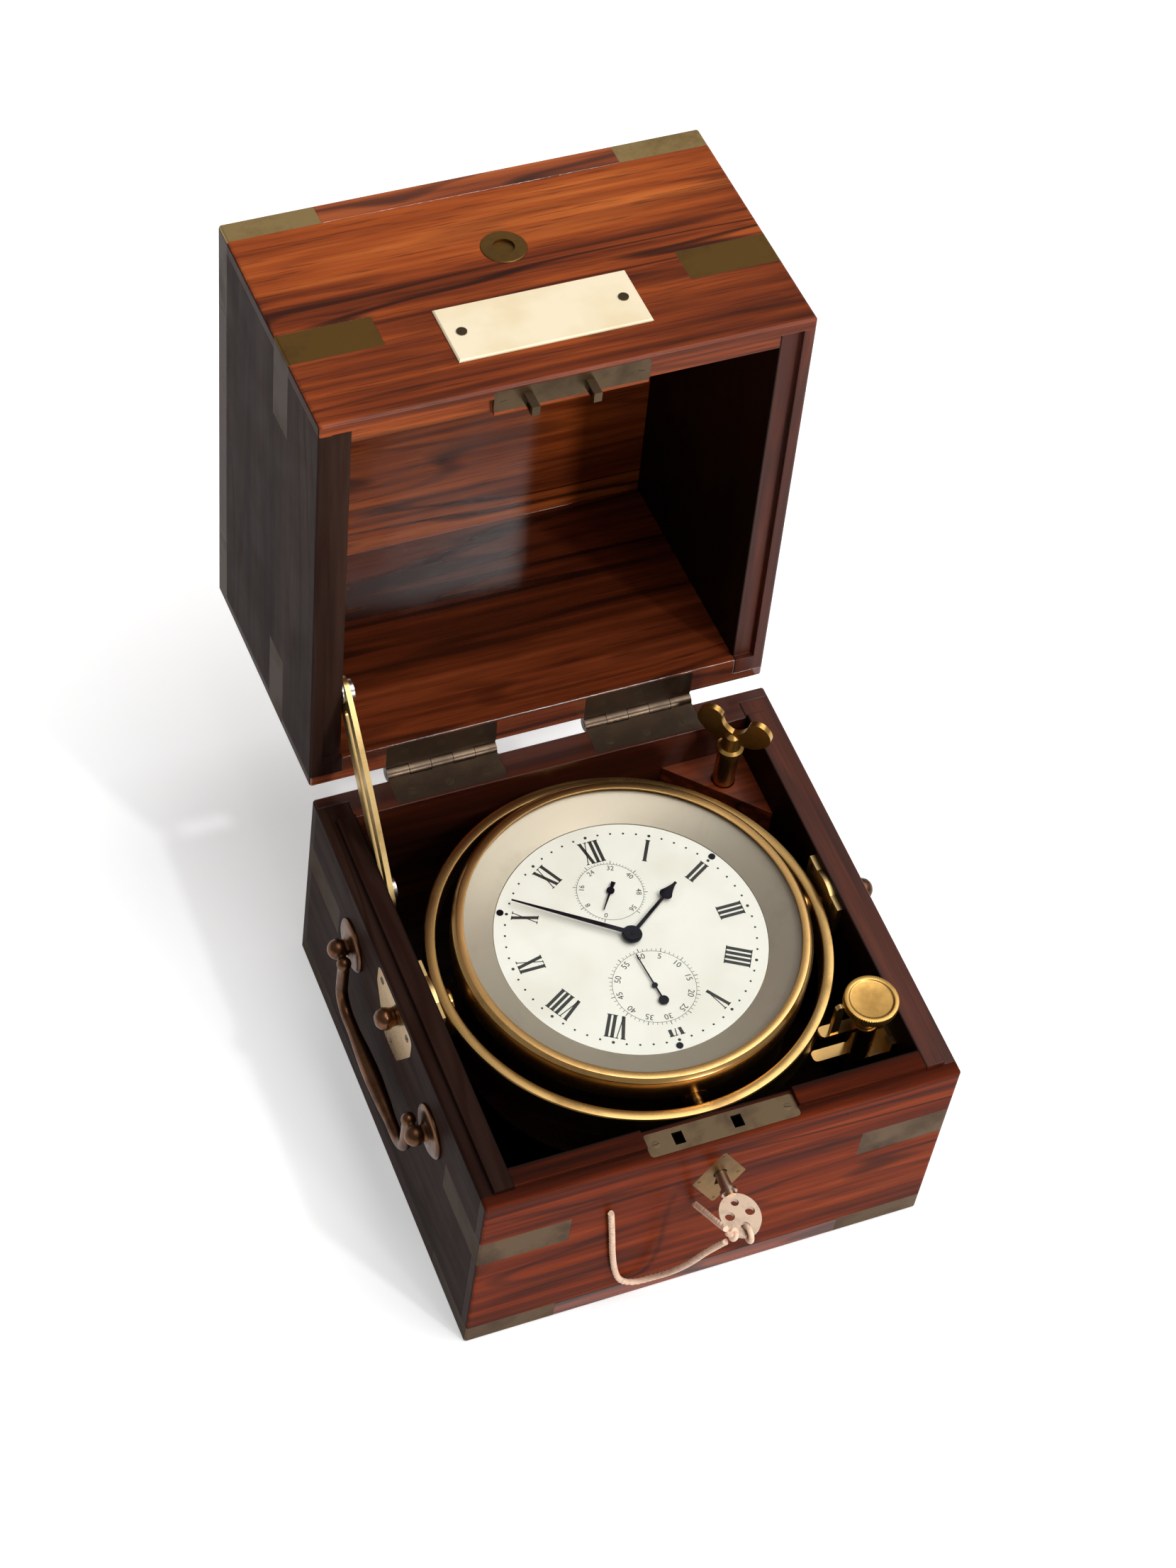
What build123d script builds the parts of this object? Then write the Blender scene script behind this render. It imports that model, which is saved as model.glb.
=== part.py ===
from build123d import *
import math
import os

# A marine chronometer in its two-part, brass-bound box, with the lid thrown back on its stay.
# Millimetres. +X is right, +Y is the back, +Z is up, and the origin is under the box's middle.
# Lid pieces are drawn shut and then swung open about the hinge axis.

os.makedirs("parts", exist_ok=True)

# Box
BOX = 184.0            # over the walls, square in plan
BASE_H = 97.0          # foot to rim
LID_H = 108.0          # rim to top
WALL = 12.5            # board thickness
BOTTOM_T = 10.0        # bottom board
TOP_T = 10.0           # top board
LAP = 5.0              # front and back boards lap the side boards' ends by this
EDGE_R = 1.2           # softening of every outer edge
LIP_T = 7.5            # raised inner dust lip on the rim
LIP_H = 2.0
LIP_GAP = 0.3          # clearance of the lid's rebate round the lip

# Brass straps let into the corners
STRAP_T = 1.2
STRAP_L = 35.0         # along each face
LID_STRAP_H = 15.0     # height of the middle straps
LID_STRAP_Z = 32.0     # rim to the lid strap's lower edge
BASE_STRAP_Z = 57.0    # foot to the base strap's lower edge
EDGE_STRAP_W = 10.0    # width of the straps on the top and foot edges

# Hinges
HINGE_BACK = 3.0       # pin's axis behind the back face, level with the rim
HINGE_X = 40.0         # centre of each hinge
HINGE_W = 44.0
LEAF_T = 2.0
LEAF_D = 11.5          # depth of a leaf over the rim
KNUCKLE_R = 2.7
HINGE_PIN_R = 1.25
KNUCKLES = 5
KNUCKLE_GAP = 0.2
LID_OPEN = 94.7        # degrees, where the stay stops it

# Stay
STAY_Y = 48.5          # stud and pivot, from the box's middle
STAY_DROP = 5.0        # stud below the rim, and pivot above it
STAY_T = 2.0
STAY_STANDOFF = 0.8    # wall to bar
STAY_END_R = 5.6
STAY_BELLY = 7.4       # half width at mid length
STUD_R = 2.0
STUD_HEAD_R = 4.0
STUD_HEAD_T = 1.6
STUD_DEEP = 8.0
SLOT_CLEAR = 0.35
RUN_CLEAR = 0.06       # radial clearance of every turning pin

# Lock in the front wall
KEY_DROP = 23.1        # rim to keyhole
LOCK_HALF_W = 28.0
LOCK_H = 36.0
LOCK_Y = 9.6           # case thickness, front to back
LOCK_SKIN = 1.2
SELVEDGE_HALF_W = 29.0
SELVEDGE_D = 9.5
PLATE_T = 1.6          # selvedge and link plate
PLATE_BACK = 1.5       # selvedge's front edge behind the front face
HOOK_X = 11.4          # each hook from the middle of the pair
HOOK_MID = -5.3        # the pair's middle, left of the key
HOOK_T = 3.0
HOOK_D = 4.0
HOOK_L = 8.0
HOOK_CLEAR = 0.5
BOLT_THROW = 4.5       # the bolt's travel, one quarter turn of the key
BOLT_T = 1.8
BOLT_CLEAR = 0.2       # bolt to the case's back plate, on which it slides
BIT_R = 7.0            # key's bit from its axis
KEY_R = 2.2
KEY_PIN_R = 1.0
KEY_OUT = 9.5          # front face to the bow
BOW_L = 17.6
BOW_W = 15.0
BOW_T = 1.8
ESCUTCHEON_W = 21.0
ESCUTCHEON_H = 35.0

# Handles
LUG_DROP = 26.0        # rim to the bail's axis
LUG_OUT = 6.0          # side face to the bail's axis
LUG_PLATE_R = 10.5
LUG_PLATE_T = 1.6
LUG_R = 4.0
BAIL_R = 2.3
BAIL_PIN_R = 1.7
BAIL_DROP = 24.0
BAIL_HALF = 35.0
BAIL_TO_LUG = 7.0      # the bail's leg to the lug's middle
GRIP_HALF = 20.0
BAIL_BEND = 9.0
BAIL_SWELL = 3.3

# Gimbal
GIMBAL_DROP = 12.5     # rim to the gimbal's two axes
RING_GAP = 3.5         # walls to the ring
RING_T = 4.5
RING_H = 13.0
RING_BOSS = 1.5
PIVOT_R = 2.0
SIDE_SCREW_R = 3.0
KNOB_R = 4.3
KNOB_OUT = 7.4
PLATE_IN_T = 2.0       # inner bearing plate
PLATE_IN_HALF = 13.0
PLATE_OUT_T = 1.2
PLATE_OUT_HALF = 17.5

# Bowl, bezel, glass and dial
BEZEL_GAP = 4.9        # ring to the bezel
BEZEL_T = 3.0
BEZEL_LIP = 1.3
BEZEL_FIT = 0.1        # bezel over the bowl, and again over the glass
BOWL_T = 2.0
BOWL_DEEP = 57.0       # gimbal axis to the bowl's underside
BOWL_ROUND = 18.0
BOWL_RISE = 7.5        # gimbal axis to the bowl's rim
BOSS_R = 5.0           # round bosses on the ring and the bowl
PILLAR_PLATE_T = 2.6
PILLAR_PLATE_IN = 1.5  # bowl's wall to the pillar plate
LEDGE_W = 3.5
TOP_PLATE_R = 46.0
TOP_PLATE_T = 3.0
TRAIN_H = 25.5         # pillar plate to top plate
PILLAR_IN = 8.0        # top plate's edge to a pillar
PILLAR_R = 2.4
DIAL_T = 0.8
DIAL_DROP = 2.3        # rim of the box to the dial's face
SLOPE_W = 12.2         # width of the silvered slope, in plan
SLOPE_RISE = 4.8
SLOPE_EDGE = 0.4       # land outside the slope that the glass lies on
GLASS_T = 1.7
SECONDS_Y = -22.6
RESERVE_Y = 21.1

# Hands, lengths from their axes, and turned clockwise from the twelve
HOUR_L = 29.5
MINUTE_L = 46.0
SECOND_L = 14.7
RESERVE_L = 9.0
HAND_T = 0.45
HOUR_ANGLE = 55.5
MINUTE_ANGLE = -54.0
SECOND_ANGLE = -6.0
RESERVE_ANGLE = 217.0

# Gimbal lock in the front right corner
POST_Y = 20.5          # front wall to the post
THUMB_R = 10.2
THUMB_GAP = 0.6        # thumb disc to the shut lid's wall
THUMB_T = 3.6
THUMB_RISE = 11.0      # rim to the thumb disc's top
POST_R = 2.5
ARM_L = 18.5
ARM_T = 2.2
ARM_CLEAR = 0.6
ARM_HUB_R = 5.0
FINGER_H = 17.0

# Winding key in the rear right corner
WING_GAP = 0.55        # wings to the shut lid's walls
TIPSY_TOP_R = 4.6
TIPSY_FOOT_R = 3.9
TIPSY_LEN = 52.0
TIPSY_RISE = 7.0       # rim to the wings' foot
WING_SPAN = 30.0
WING_H = 14.0
WING_T = 2.4
BLOCK_LEG = 33.0
BLOCK_TOP = 78.0

# Lid furniture
ROUNDEL_Z = 67.3       # above the rim
ROUNDEL_R = 8.4
ROUNDEL_HOLE_R = 4.0
PLATE_W = 72.0
PLATE_H = 27.0
PLATE_Z = 29.4
PLATE_PROUD = 1.0
PLATE_SCREW_X = 30.1
PLATE_SCREW_R = 1.9
PLATE_SCREW_L = 6.5    # in the board

# Cord on the box key
CORD_R = 1.2
KNOT_R = 2.6
KNOT_X = -5.9
KNOT_BACK = 2.1        # bow's end to the knot
LOOP_R = 2.75
LOOP_WIRE_R = 1.0
LONG_ROUTE = [
    (-8.5, -117.7, 72.4),
    (-11.8, -113.6, 61.0),
    (-13.3, -107.4, 42.5),
    (-15.8, -101.0, 26.0),
    (-20.0, -96.2, 16.0),
    (-26.6, -94.2, 12.0),
    (-32.6, -93.6, 15.5),
    (-35.6, -93.5, 24.0),
    (-38.3, -93.6, 38.5),
    (-40.3, -93.5, 55.0),
    (-42.6, -93.6, 71.0),
]
SHORT_ROUTE = [
    (-8.6, -116.1, 78.9),
    (-9.2, -112.4, 76.3),
    (-8.3, -103.6, 67.5),
    (-8.2, -93.4, 58.4),
]

# Places worked out from the sizes above
HALF_W = BOX / 2
HALF_D = BOX / 2
IN_W = HALF_W - WALL
IN_D = HALF_D - WALL
LID_TOP = BASE_H + LID_H
HINGE_Y = HALF_D + HINGE_BACK
HINGE_AXIS = Axis((0, HINGE_Y, BASE_H), (1, 0, 0))
GIMBAL_Z = BASE_H - GIMBAL_DROP
DIAL_Z = BASE_H - DIAL_DROP
KEY_Z = BASE_H - KEY_DROP
RING_R = IN_W - RING_GAP
RING_IN = RING_R - RING_T
BEZEL_R = RING_IN - BEZEL_GAP
BOWL_R = BEZEL_R - BEZEL_T - BEZEL_FIT
GLASS_R = BOWL_R - BEZEL_FIT
SLOPE_R = GLASS_R - SLOPE_EDGE
DIAL_R = SLOPE_R - SLOPE_W
TIPSY_C = IN_W - (WING_SPAN + WING_T) * math.sqrt(0.5) / 2 - WING_GAP
LUG_Z = BASE_H - LUG_DROP
LUG_Y = BAIL_HALF + BAIL_TO_LUG
STUD_Z = BASE_H - STAY_DROP
PIVOT_Z = BASE_H + STAY_DROP


def block(x, y, z):
    """A box between three pairs of limits, each pair in any order."""
    sizes = [abs(b - a) for a, b in (x, y, z)]
    middle = [(a + b) / 2 for a, b in (x, y, z)]
    return Pos(*middle) * Box(*sizes)


def rod(start, end, radius):
    """A round bar from one point to another."""
    along = Vector(*end) - Vector(*start)
    foot = Plane(origin=start, z_dir=along)
    return foot * Cylinder(radius, along.length, align=(Align.CENTER, Align.CENTER, Align.MIN))


def turned(points):
    """A body of revolution about Z, from its half profile as (radius, height) pairs."""
    outline = Polyline([(r, 0, z) for r, z in points], close=True)
    return revolve(make_face(outline), Axis.Z)


def plate(points, start, depth, facing):
    """A flat plate with a straight-sided outline on a plane, as deep as asked."""
    return extrude(Plane(origin=start, x_dir=facing[0], z_dir=facing[1]) * make_face(
        Polyline([(u, v) for u, v in points], close=True)), depth)


def both_sides(shape):
    """A piece and its mirror image in the left-right middle plane."""
    return [shape, mirror(shape, Plane.YZ)]


def opened(shape):
    """A lid piece, drawn shut, swung to where the stay holds the lid."""
    return shape.rotate(HINGE_AXIS, -LID_OPEN)


def one(shapes):
    """Several shapes joined as one."""
    joined = shapes[0]
    for shape in shapes[1:]:
        joined = joined + shape
    return joined


def less(shape, cutters):
    """A shape with a list of others cut from it."""
    for cutter in cutters:
        shape = shape - cutter
    return shape


def save(name, shapes):
    """Write one node's solids to its own file."""
    solids = []
    for shape in shapes if isinstance(shapes, list) else [shapes]:
        solids.extend(shape.solids())
    export_step(Compound(children=solids) if len(solids) > 1 else solids[0], f"parts/{name}.step")


def envelope(low, high):
    """The outside of one half of the box, with its edges softened."""
    outside = block((-HALF_W, HALF_W), (-HALF_D, HALF_D), (low, high))
    return fillet(outside.edges(), EDGE_R)


BASE_OUTSIDE = envelope(0, BASE_H)
LID_OUTSIDE = envelope(BASE_H, LID_TOP)


# Straps: each wraps one upright corner of the box

def corner_bar(sx, sy, low, high, back):
    """Two bars along the faces beside a corner, set back from both faces."""
    along_x = block((sx * (HALF_W - back), sx * (HALF_W - STRAP_L)),
                    (sy * (HALF_D - back), sy * (HALF_D - EDGE_STRAP_W)), (low, high))
    along_y = block((sx * (HALF_W - back), sx * (HALF_W - EDGE_STRAP_W)),
                    (sy * (HALF_D - back), sy * (HALF_D - STRAP_L)), (low, high))
    return along_x + along_y


def middle_strap(sx, sy, low, high):
    """A strap of plain sheet bent round an upright edge."""
    ring = corner_bar(sx, sy, low, high, 0)
    core = block((sx * (HALF_W - STRAP_T), 0), (sy * (HALF_D - STRAP_T), 0), (low - 1, high + 1))
    return ring - core


def edge_strap(sx, sy, edge, inward):
    """A strap that covers a corner of the top or foot, with a leg on all three faces."""
    far = edge + inward * EDGE_STRAP_W
    outer = corner_bar(sx, sy, min(edge, far), max(edge, far), 0)
    core = block((sx * (HALF_W - STRAP_T), 0), (sy * (HALF_D - STRAP_T), 0),
                 (edge + inward * STRAP_T, far + inward))
    return outer - core


CORNERS = [(-1, -1), (1, -1), (-1, 1), (1, 1)]
base_middle = [middle_strap(sx, sy, BASE_STRAP_Z, BASE_STRAP_Z + LID_STRAP_H) for sx, sy in CORNERS]
base_foot = [edge_strap(sx, sy, 0, 1) for sx, sy in CORNERS]
lid_low = BASE_H + LID_STRAP_Z
lid_middle = [middle_strap(sx, sy, lid_low, lid_low + LID_STRAP_H) for sx, sy in CORNERS]
lid_upper = [edge_strap(sx, sy, LID_TOP, -1) for sx, sy in CORNERS]
base_middle = [s & BASE_OUTSIDE for s in base_middle]
base_foot = [s & BASE_OUTSIDE for s in base_foot]
lid_middle = [s & LID_OUTSIDE for s in lid_middle]
lid_upper = [s & LID_OUTSIDE for s in lid_upper]
save("base_straps_middle", base_middle)
save("base_straps_foot", base_foot)
save("lid_straps_middle", [opened(s) for s in lid_middle])
save("lid_straps_top", [opened(s) for s in lid_upper])


# Hinges: two leaves let into the rims, their knuckles taking turns along one pin

def knuckle_spans(first):
    """X limits of every second knuckle of one hinge, counted from its left end."""
    pitch = HINGE_W / KNUCKLES
    spans = []
    for i in range(first, KNUCKLES, 2):
        left = HINGE_X - HINGE_W / 2 + i * pitch
        spans.append((left + KNUCKLE_GAP / 2, left + pitch - KNUCKLE_GAP / 2))
    return spans


def leaf(first, side, bore):
    """One leaf with its knuckles: side is -1 below the rim and 1 above it."""
    level = BASE_H + side * LEAF_T
    whole = block((HINGE_X - HINGE_W / 2, HINGE_X + HINGE_W / 2),
                  (HALF_D - LEAF_D, HALF_D), (BASE_H, level))
    for left, right in knuckle_spans(first):
        whole = whole + block((left, right), (HALF_D - 0.5, HINGE_Y), (BASE_H, level))
        whole = whole + rod((left, HINGE_Y, BASE_H), (right, HINGE_Y, BASE_H), KNUCKLE_R)
    pin = rod((HINGE_X - HINGE_W, HINGE_Y, BASE_H), (HINGE_X + HINGE_W, HINGE_Y, BASE_H), bore)
    return whole - pin


leaf_below = leaf(0, -1, HINGE_PIN_R)
leaf_above = leaf(1, 1, HINGE_PIN_R + RUN_CLEAR)
hinge_pin = rod((HINGE_X - HINGE_W / 2, HINGE_Y, BASE_H),
                (HINGE_X + HINGE_W / 2, HINGE_Y, BASE_H), HINGE_PIN_R)
leaf_seat = block((HINGE_X - HINGE_W / 2, HINGE_X + HINGE_W / 2),
                  (HALF_D - LEAF_D, HALF_D + 1), (BASE_H - LEAF_T, BASE_H + LEAF_T))
leaf_seats = both_sides(leaf_seat)
save("hinge_leaves_base", both_sides(leaf_below))
save("hinge_leaves_lid", [opened(s) for s in both_sides(leaf_above)])
save("hinge_pins", both_sides(hinge_pin))


# Lock: a case let into the front wall, its bolt, and the plate with two hooks on the lid

case_front = -IN_D - LOCK_Y
selvedge_front = -HALF_D + PLATE_BACK
selvedge_back = selvedge_front + SELVEDGE_D
hook_y = case_front + LOCK_SKIN + HOOK_D / 2 + 0.3
case_low = BASE_H - LOCK_H


def selvedge_blank(low, high):
    """The plate on either rim at the lock, with round ends."""
    flat = block((-SELVEDGE_HALF_W, SELVEDGE_HALF_W), (selvedge_front, selvedge_back), (low, high))
    return fillet(flat.edges().filter_by(Axis.Z), 1.5)


case_outside = block((-LOCK_HALF_W, LOCK_HALF_W), (case_front, -IN_D), (case_low, BASE_H - PLATE_T))
case_inside = block((-LOCK_HALF_W + LOCK_SKIN, LOCK_HALF_W - LOCK_SKIN),
                    (case_front + LOCK_SKIN, -IN_D - LOCK_SKIN),
                    (case_low + LOCK_SKIN, BASE_H - PLATE_T))
hook_slots = []
hooks = []
for side in (-1, 1):
    left = HOOK_MID + side * HOOK_X - HOOK_T / 2
    hook_slots.append(block((left - HOOK_CLEAR, left + HOOK_T + HOOK_CLEAR),
                            (hook_y - HOOK_D / 2 - HOOK_CLEAR, hook_y + HOOK_D / 2 + HOOK_CLEAR),
                            (BASE_H - 2 * PLATE_T, BASE_H + 1)))
    hook = block((left, left + HOOK_T), (hook_y - HOOK_D / 2, hook_y + HOOK_D / 2),
                 (BASE_H - HOOK_L, BASE_H + PLATE_T))
    window = block((left - 1, left + HOOK_T + 1), (hook_y - 1.2, hook_y + 1.2),
                   (BASE_H - HOOK_L + 1.6, BASE_H - HOOK_L + 5.2))
    hooks.append(hook - window)
case = (case_outside - case_inside) + selvedge_blank(BASE_H - PLATE_T, BASE_H)
case = less(case, hook_slots)
key_hole = rod((0, -HALF_D - 5, KEY_Z), (0, case_front + LOCK_SKIN + 0.2, KEY_Z), KEY_R + 0.4)
key_slot = block((-1.3, 1.3), (-HALF_D - 5, case_front + LOCK_SKIN + 0.2),
                 (KEY_Z, KEY_Z - BIT_R - 0.5))
case = less(case, [key_hole, key_slot])
case = case + rod((0, -IN_D - 0.5, KEY_Z), (0, case_front + LOCK_SKIN + 0.6, KEY_Z), KEY_PIN_R)
save("lock_case", case)

finger_z = BASE_H - HOOK_L + 3.4
bar_top = BASE_H - HOOK_L - 1.2
bar_low = bar_top - 3.0
bolt_back = hook_y + BOLT_T / 2
bolt_front = hook_y - BOLT_T / 2
bar_back = -IN_D - LOCK_SKIN - BOLT_CLEAR
bolt = block((HOOK_MID - HOOK_X - 9.1, HOOK_MID + HOOK_X), (bolt_front, bar_back), (bar_low, bar_top))
for side in (-1, 1):
    tip = HOOK_MID + side * HOOK_X - HOOK_T / 2 - 0.6
    bolt = bolt + block((tip - 7.0, tip - 4.4), (bolt_front, bolt_back), (bar_low, finger_z + 1.2))
    bolt = bolt + block((tip - 7.0, tip), (bolt_front, bolt_back), (finger_z - 1.2, finger_z + 1.2))
bolt = bolt + block((-2.7, -0.7), (bolt_front, bolt_back), (KEY_Z + BIT_R - 1.2, bar_low + 0.5))
save("lock_bolt", bolt)

link_plate = selvedge_blank(BASE_H, BASE_H + PLATE_T) + one(hooks)
save("link_plate", opened(link_plate))

half_w = ESCUTCHEON_W / 2
half_h = ESCUTCHEON_H / 2
lozenge_z = KEY_Z - 2.9
lozenge = plate([(half_w, 0), (0, half_h), (-half_w, 0), (0, -half_h)],
                (0, -HALF_D, lozenge_z), -STRAP_T, ((1, 0, 0), (0, -1, 0)))
lozenge = fillet(lozenge.edges().filter_by(Axis.Y), 1.0)
save("escutcheon", less(lozenge, [key_hole, key_slot]))

# Box key, turned until its bow lies flat, so that the lock holds it
bow_front = -HALF_D - KEY_OUT
bow_end = bow_front - BOW_L
bow_mid = (bow_front + bow_end) / 2
key = rod((0, case_front + LOCK_SKIN + 5.2, KEY_Z), (0, bow_front - 0.6, KEY_Z), KEY_R)
key = key + rod((0, bow_front + 2.4, KEY_Z), (0, bow_front + 0.9, KEY_Z), KEY_R + 0.9)
bit_back = case_front + LOCK_SKIN + 4.6
key = key + block((-BIT_R, 0), (bit_back - 2.8, bit_back), (KEY_Z - 0.9, KEY_Z + 0.9))
bow_flat = Pos(0, bow_mid, KEY_Z) * Ellipse(BOW_W / 2, BOW_L / 2)
bow = extrude(bow_flat, BOW_T / 2, both=True)
bow = less(bow, [Pos(0, bow_end + 3.9, KEY_Z) * Cylinder(1.7, BOW_T * 2)])
bow = less(bow, [Pos(0, bow_front - 3.6, KEY_Z) * Cylinder(1.5, BOW_T * 2)])
bow = less(bow, [Pos(s * 3.9, bow_mid + 0.4, KEY_Z) * Cylinder(1.8, BOW_T * 2) for s in (-1, 1)])
key = key + bow
key = key - rod((0, case_front, KEY_Z), (0, -IN_D, KEY_Z), KEY_PIN_R + RUN_CLEAR)
save("box_key", key)

# The cord is looped round the bow's end and knotted over its left edge
bar_y = bow_end + 1.1
knot_at = (KNOT_X, bow_end + KNOT_BACK, KEY_Z + 0.9)
knot = Pos(*knot_at) * Rot(35, 20, 0) * Sphere(KNOT_R)
knot = knot + rod((0, bar_y - LOOP_R, KEY_Z), knot_at, LOOP_WIRE_R + 0.2)
knot = knot + Pos(0, bar_y, KEY_Z) * Rot(0, 90, 0) * Torus(LOOP_R, LOOP_WIRE_R)
save("cord_knot", knot - bow)


def cord_tube(route):
    """A cord along straight runs joined by tangent arcs, each as large as its runs allow."""
    points = [Vector(*p) for p in route]
    radii = []
    for before, here, after in zip(points, points[1:], points[2:]):
        turn = (here - before).get_angle(after - here)
        run = min((here - before).length, (after - here).length)
        radii.append(0.45 * run / math.tan(math.radians(turn / 2)))
    print("cord radii", [round(r, 1) for r in radii])
    path = FilletPolyline(*points, radius=radii)
    section = Plane(origin=path @ 0, z_dir=path % 0) * Circle(CORD_R)
    tube = sweep(section, path)
    print("cord length", round(path.length, 1),
          "volume ratio", round(tube.volume / (path.length * math.pi * CORD_R ** 2), 4))
    return tube


save("cord_long", cord_tube(LONG_ROUTE))
save("cord_short", cord_tube(SHORT_ROUTE))


# Stay: pivot and stud lie the same way from the hinge axis, so the bar turns half as far as the lid

reach = math.hypot(HINGE_Y - STAY_Y, STAY_DROP)
lean = math.degrees(math.atan2(STAY_DROP, HINGE_Y - STAY_Y))
shut_gap = 2 * reach * math.sin(math.radians(lean))
open_gap = 2 * reach * math.sin(math.radians(LID_OPEN / 2 + lean))
stay_out = -IN_W + STAY_STANDOFF
stay_in = stay_out + STAY_T
swing = math.radians(LID_OPEN)
pivot_y = HINGE_Y + (STAY_Y - HINGE_Y) * math.cos(swing) + STAY_DROP * math.sin(swing)
pivot_z = BASE_H - (STAY_Y - HINGE_Y) * math.sin(swing) + STAY_DROP * math.cos(swing)


def stud(y, z):
    """A shouldered screw in the left wall: shank in the wood, collar, bearing and head."""
    shank = rod((-IN_W - STUD_DEEP, y, z), (stay_in + 0.3, y, z), STUD_R)
    collar = rod((-IN_W, y, z), (stay_out - 0.1, y, z), STUD_HEAD_R + 0.4)
    head = rod((stay_in + 0.25, y, z), (stay_in + 0.25 + STUD_HEAD_T, y, z), STUD_HEAD_R)
    return shank + collar + head


stay_stud = stud(STAY_Y, STUD_Z)
stay_screw = stud(STAY_Y, PIVOT_Z)
save("stay_stud", stay_stud)
save("stay_screw", opened(stay_screw))

slot_half = STUD_R + SLOT_CLEAR
first = shut_gap - SLOT_CLEAR
last = open_gap + SLOT_CLEAR
bar_end = open_gap + 2.6
outline = make_face([
    ThreePointArc((0, STAY_END_R), (bar_end / 2, STAY_BELLY), (bar_end, STAY_END_R)),
    ThreePointArc((bar_end, STAY_END_R), (bar_end + STAY_END_R, 0), (bar_end, -STAY_END_R)),
    ThreePointArc((bar_end, -STAY_END_R), (bar_end / 2, -STAY_BELLY), (0, -STAY_END_R)),
    ThreePointArc((0, -STAY_END_R), (-STAY_END_R, 0), (0, STAY_END_R)),
])
slot = Pos((first + last) / 2, 0) * SlotCenterToCenter(last - first, 2 * slot_half)
flat_bar = outline - slot - Circle(STUD_R + RUN_CLEAR)
to_stud = Vector(0, STAY_Y - pivot_y, STUD_Z - pivot_z)
bar_plane = Plane(origin=(stay_out, pivot_y, pivot_z), x_dir=to_stud, z_dir=(1, 0, 0))
save("stay_bar", extrude(bar_plane * flat_bar, STAY_T))


# Gimbal: ring on two side screws, bowl on two screws through the ring's front and back

half_h = RING_H / 2
ring = Pos(0, 0, GIMBAL_Z) * turned([(RING_IN, -half_h), (RING_R, -half_h), (RING_R, half_h),
                                     (RING_IN, half_h)])
ring = fillet(ring.edges(), 1.0)
for side in (-1, 1):
    pad = rod((side * (RING_IN - RING_BOSS), 0, GIMBAL_Z), (side * (RING_R - 1), 0, GIMBAL_Z), BOSS_R)
    ring = ring + pad
side_tip = RING_IN - RING_BOSS + 1.0
side_bore = rod((side_tip - 2, 0, GIMBAL_Z), (RING_R + 2, 0, GIMBAL_Z), PIVOT_R + RUN_CLEAR)
end_bore = rod((0, RING_IN - 2, GIMBAL_Z), (0, RING_R + 2, GIMBAL_Z), PIVOT_R)
ring = less(ring, both_sides(side_bore) + [end_bore, mirror(end_bore, Plane.XZ)])
save("gimbal_ring", ring)

end_screw = rod((0, BOWL_R - BOWL_T + 0.4, GIMBAL_Z), (0, RING_R, GIMBAL_Z), PIVOT_R)
end_screw = end_screw + rod((0, RING_R, GIMBAL_Z), (0, RING_R + 1.4, GIMBAL_Z), 3.6)
save("gimbal_end_screws", [end_screw, mirror(end_screw, Plane.XZ)])

side_screw = rod((side_tip, 0, GIMBAL_Z), (RING_R + 0.6, 0, GIMBAL_Z), PIVOT_R)
side_screw = side_screw + rod((RING_R + 0.6, 0, GIMBAL_Z), (HALF_W + 1.0, 0, GIMBAL_Z), SIDE_SCREW_R)
dome = turned([(0, 0), (3.6, 0), (3.6, 1.2), (KNOB_R - 0.3, 1.9), (KNOB_R, 3.0), (KNOB_R, 4.0),
               (KNOB_R - 0.6, 5.6), (KNOB_R - 2.0, 6.9), (0, KNOB_OUT)])
side_screw = side_screw + Pos(HALF_W, 0, GIMBAL_Z) * Rot(0, 90, 0) * dome
save("gimbal_side_screws", both_sides(side_screw))

half = PLATE_IN_HALF
inner_top = BASE_H - 1.0
inner_plate = block((IN_W - PLATE_IN_T, IN_W), (-half, half), (GIMBAL_Z, inner_top))
inner_plate = inner_plate + rod((IN_W - PLATE_IN_T, 0, GIMBAL_Z), (IN_W, 0, GIMBAL_Z), half)
through = rod((0, 0, GIMBAL_Z), (HALF_W + WALL, 0, GIMBAL_Z), SIDE_SCREW_R + 0.05)
inner_plate = inner_plate - through
save("gimbal_inner_plates", both_sides(inner_plate))

top = BASE_H - 3.5
shield = [(-PLATE_OUT_HALF, top), (-PLATE_OUT_HALF, GIMBAL_Z - 1), (-6.5, 64.0), (6.5, 64.0),
          (PLATE_OUT_HALF, GIMBAL_Z - 1), (PLATE_OUT_HALF, top)]
outer_plate = plate(shield, (HALF_W, 0, 0), -PLATE_OUT_T, ((0, 1, 0), (1, 0, 0)))
outer_plate = fillet(outer_plate.edges().filter_by(Axis.X), 3.0)
outer_seat = outer_plate
outer_plate = outer_plate - through
save("gimbal_outer_plates", both_sides(outer_plate))

bowl_low = GIMBAL_Z - BOWL_DEEP
bowl_top = GIMBAL_Z + BOWL_RISE
bowl_outside = Pos(0, 0, (bowl_low + bowl_top) / 2) * Cylinder(BOWL_R, bowl_top - bowl_low)
bowl_outside = fillet(bowl_outside.edges().sort_by(Axis.Z)[:1], BOWL_ROUND)
bowl_inside = Pos(0, 0, (bowl_low + bowl_top) / 2 + BOWL_T) * Cylinder(BOWL_R - BOWL_T,
                                                                      bowl_top - bowl_low)
bowl_inside = fillet(bowl_inside.edges().sort_by(Axis.Z)[:1], BOWL_ROUND - BOWL_T)
bowl_pad = rod((0, BOWL_R - 0.8, GIMBAL_Z), (0, BOWL_R + 2.6, GIMBAL_Z), BOSS_R)
bowl = bowl_outside + bowl_pad + mirror(bowl_pad, Plane.XZ)
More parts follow.
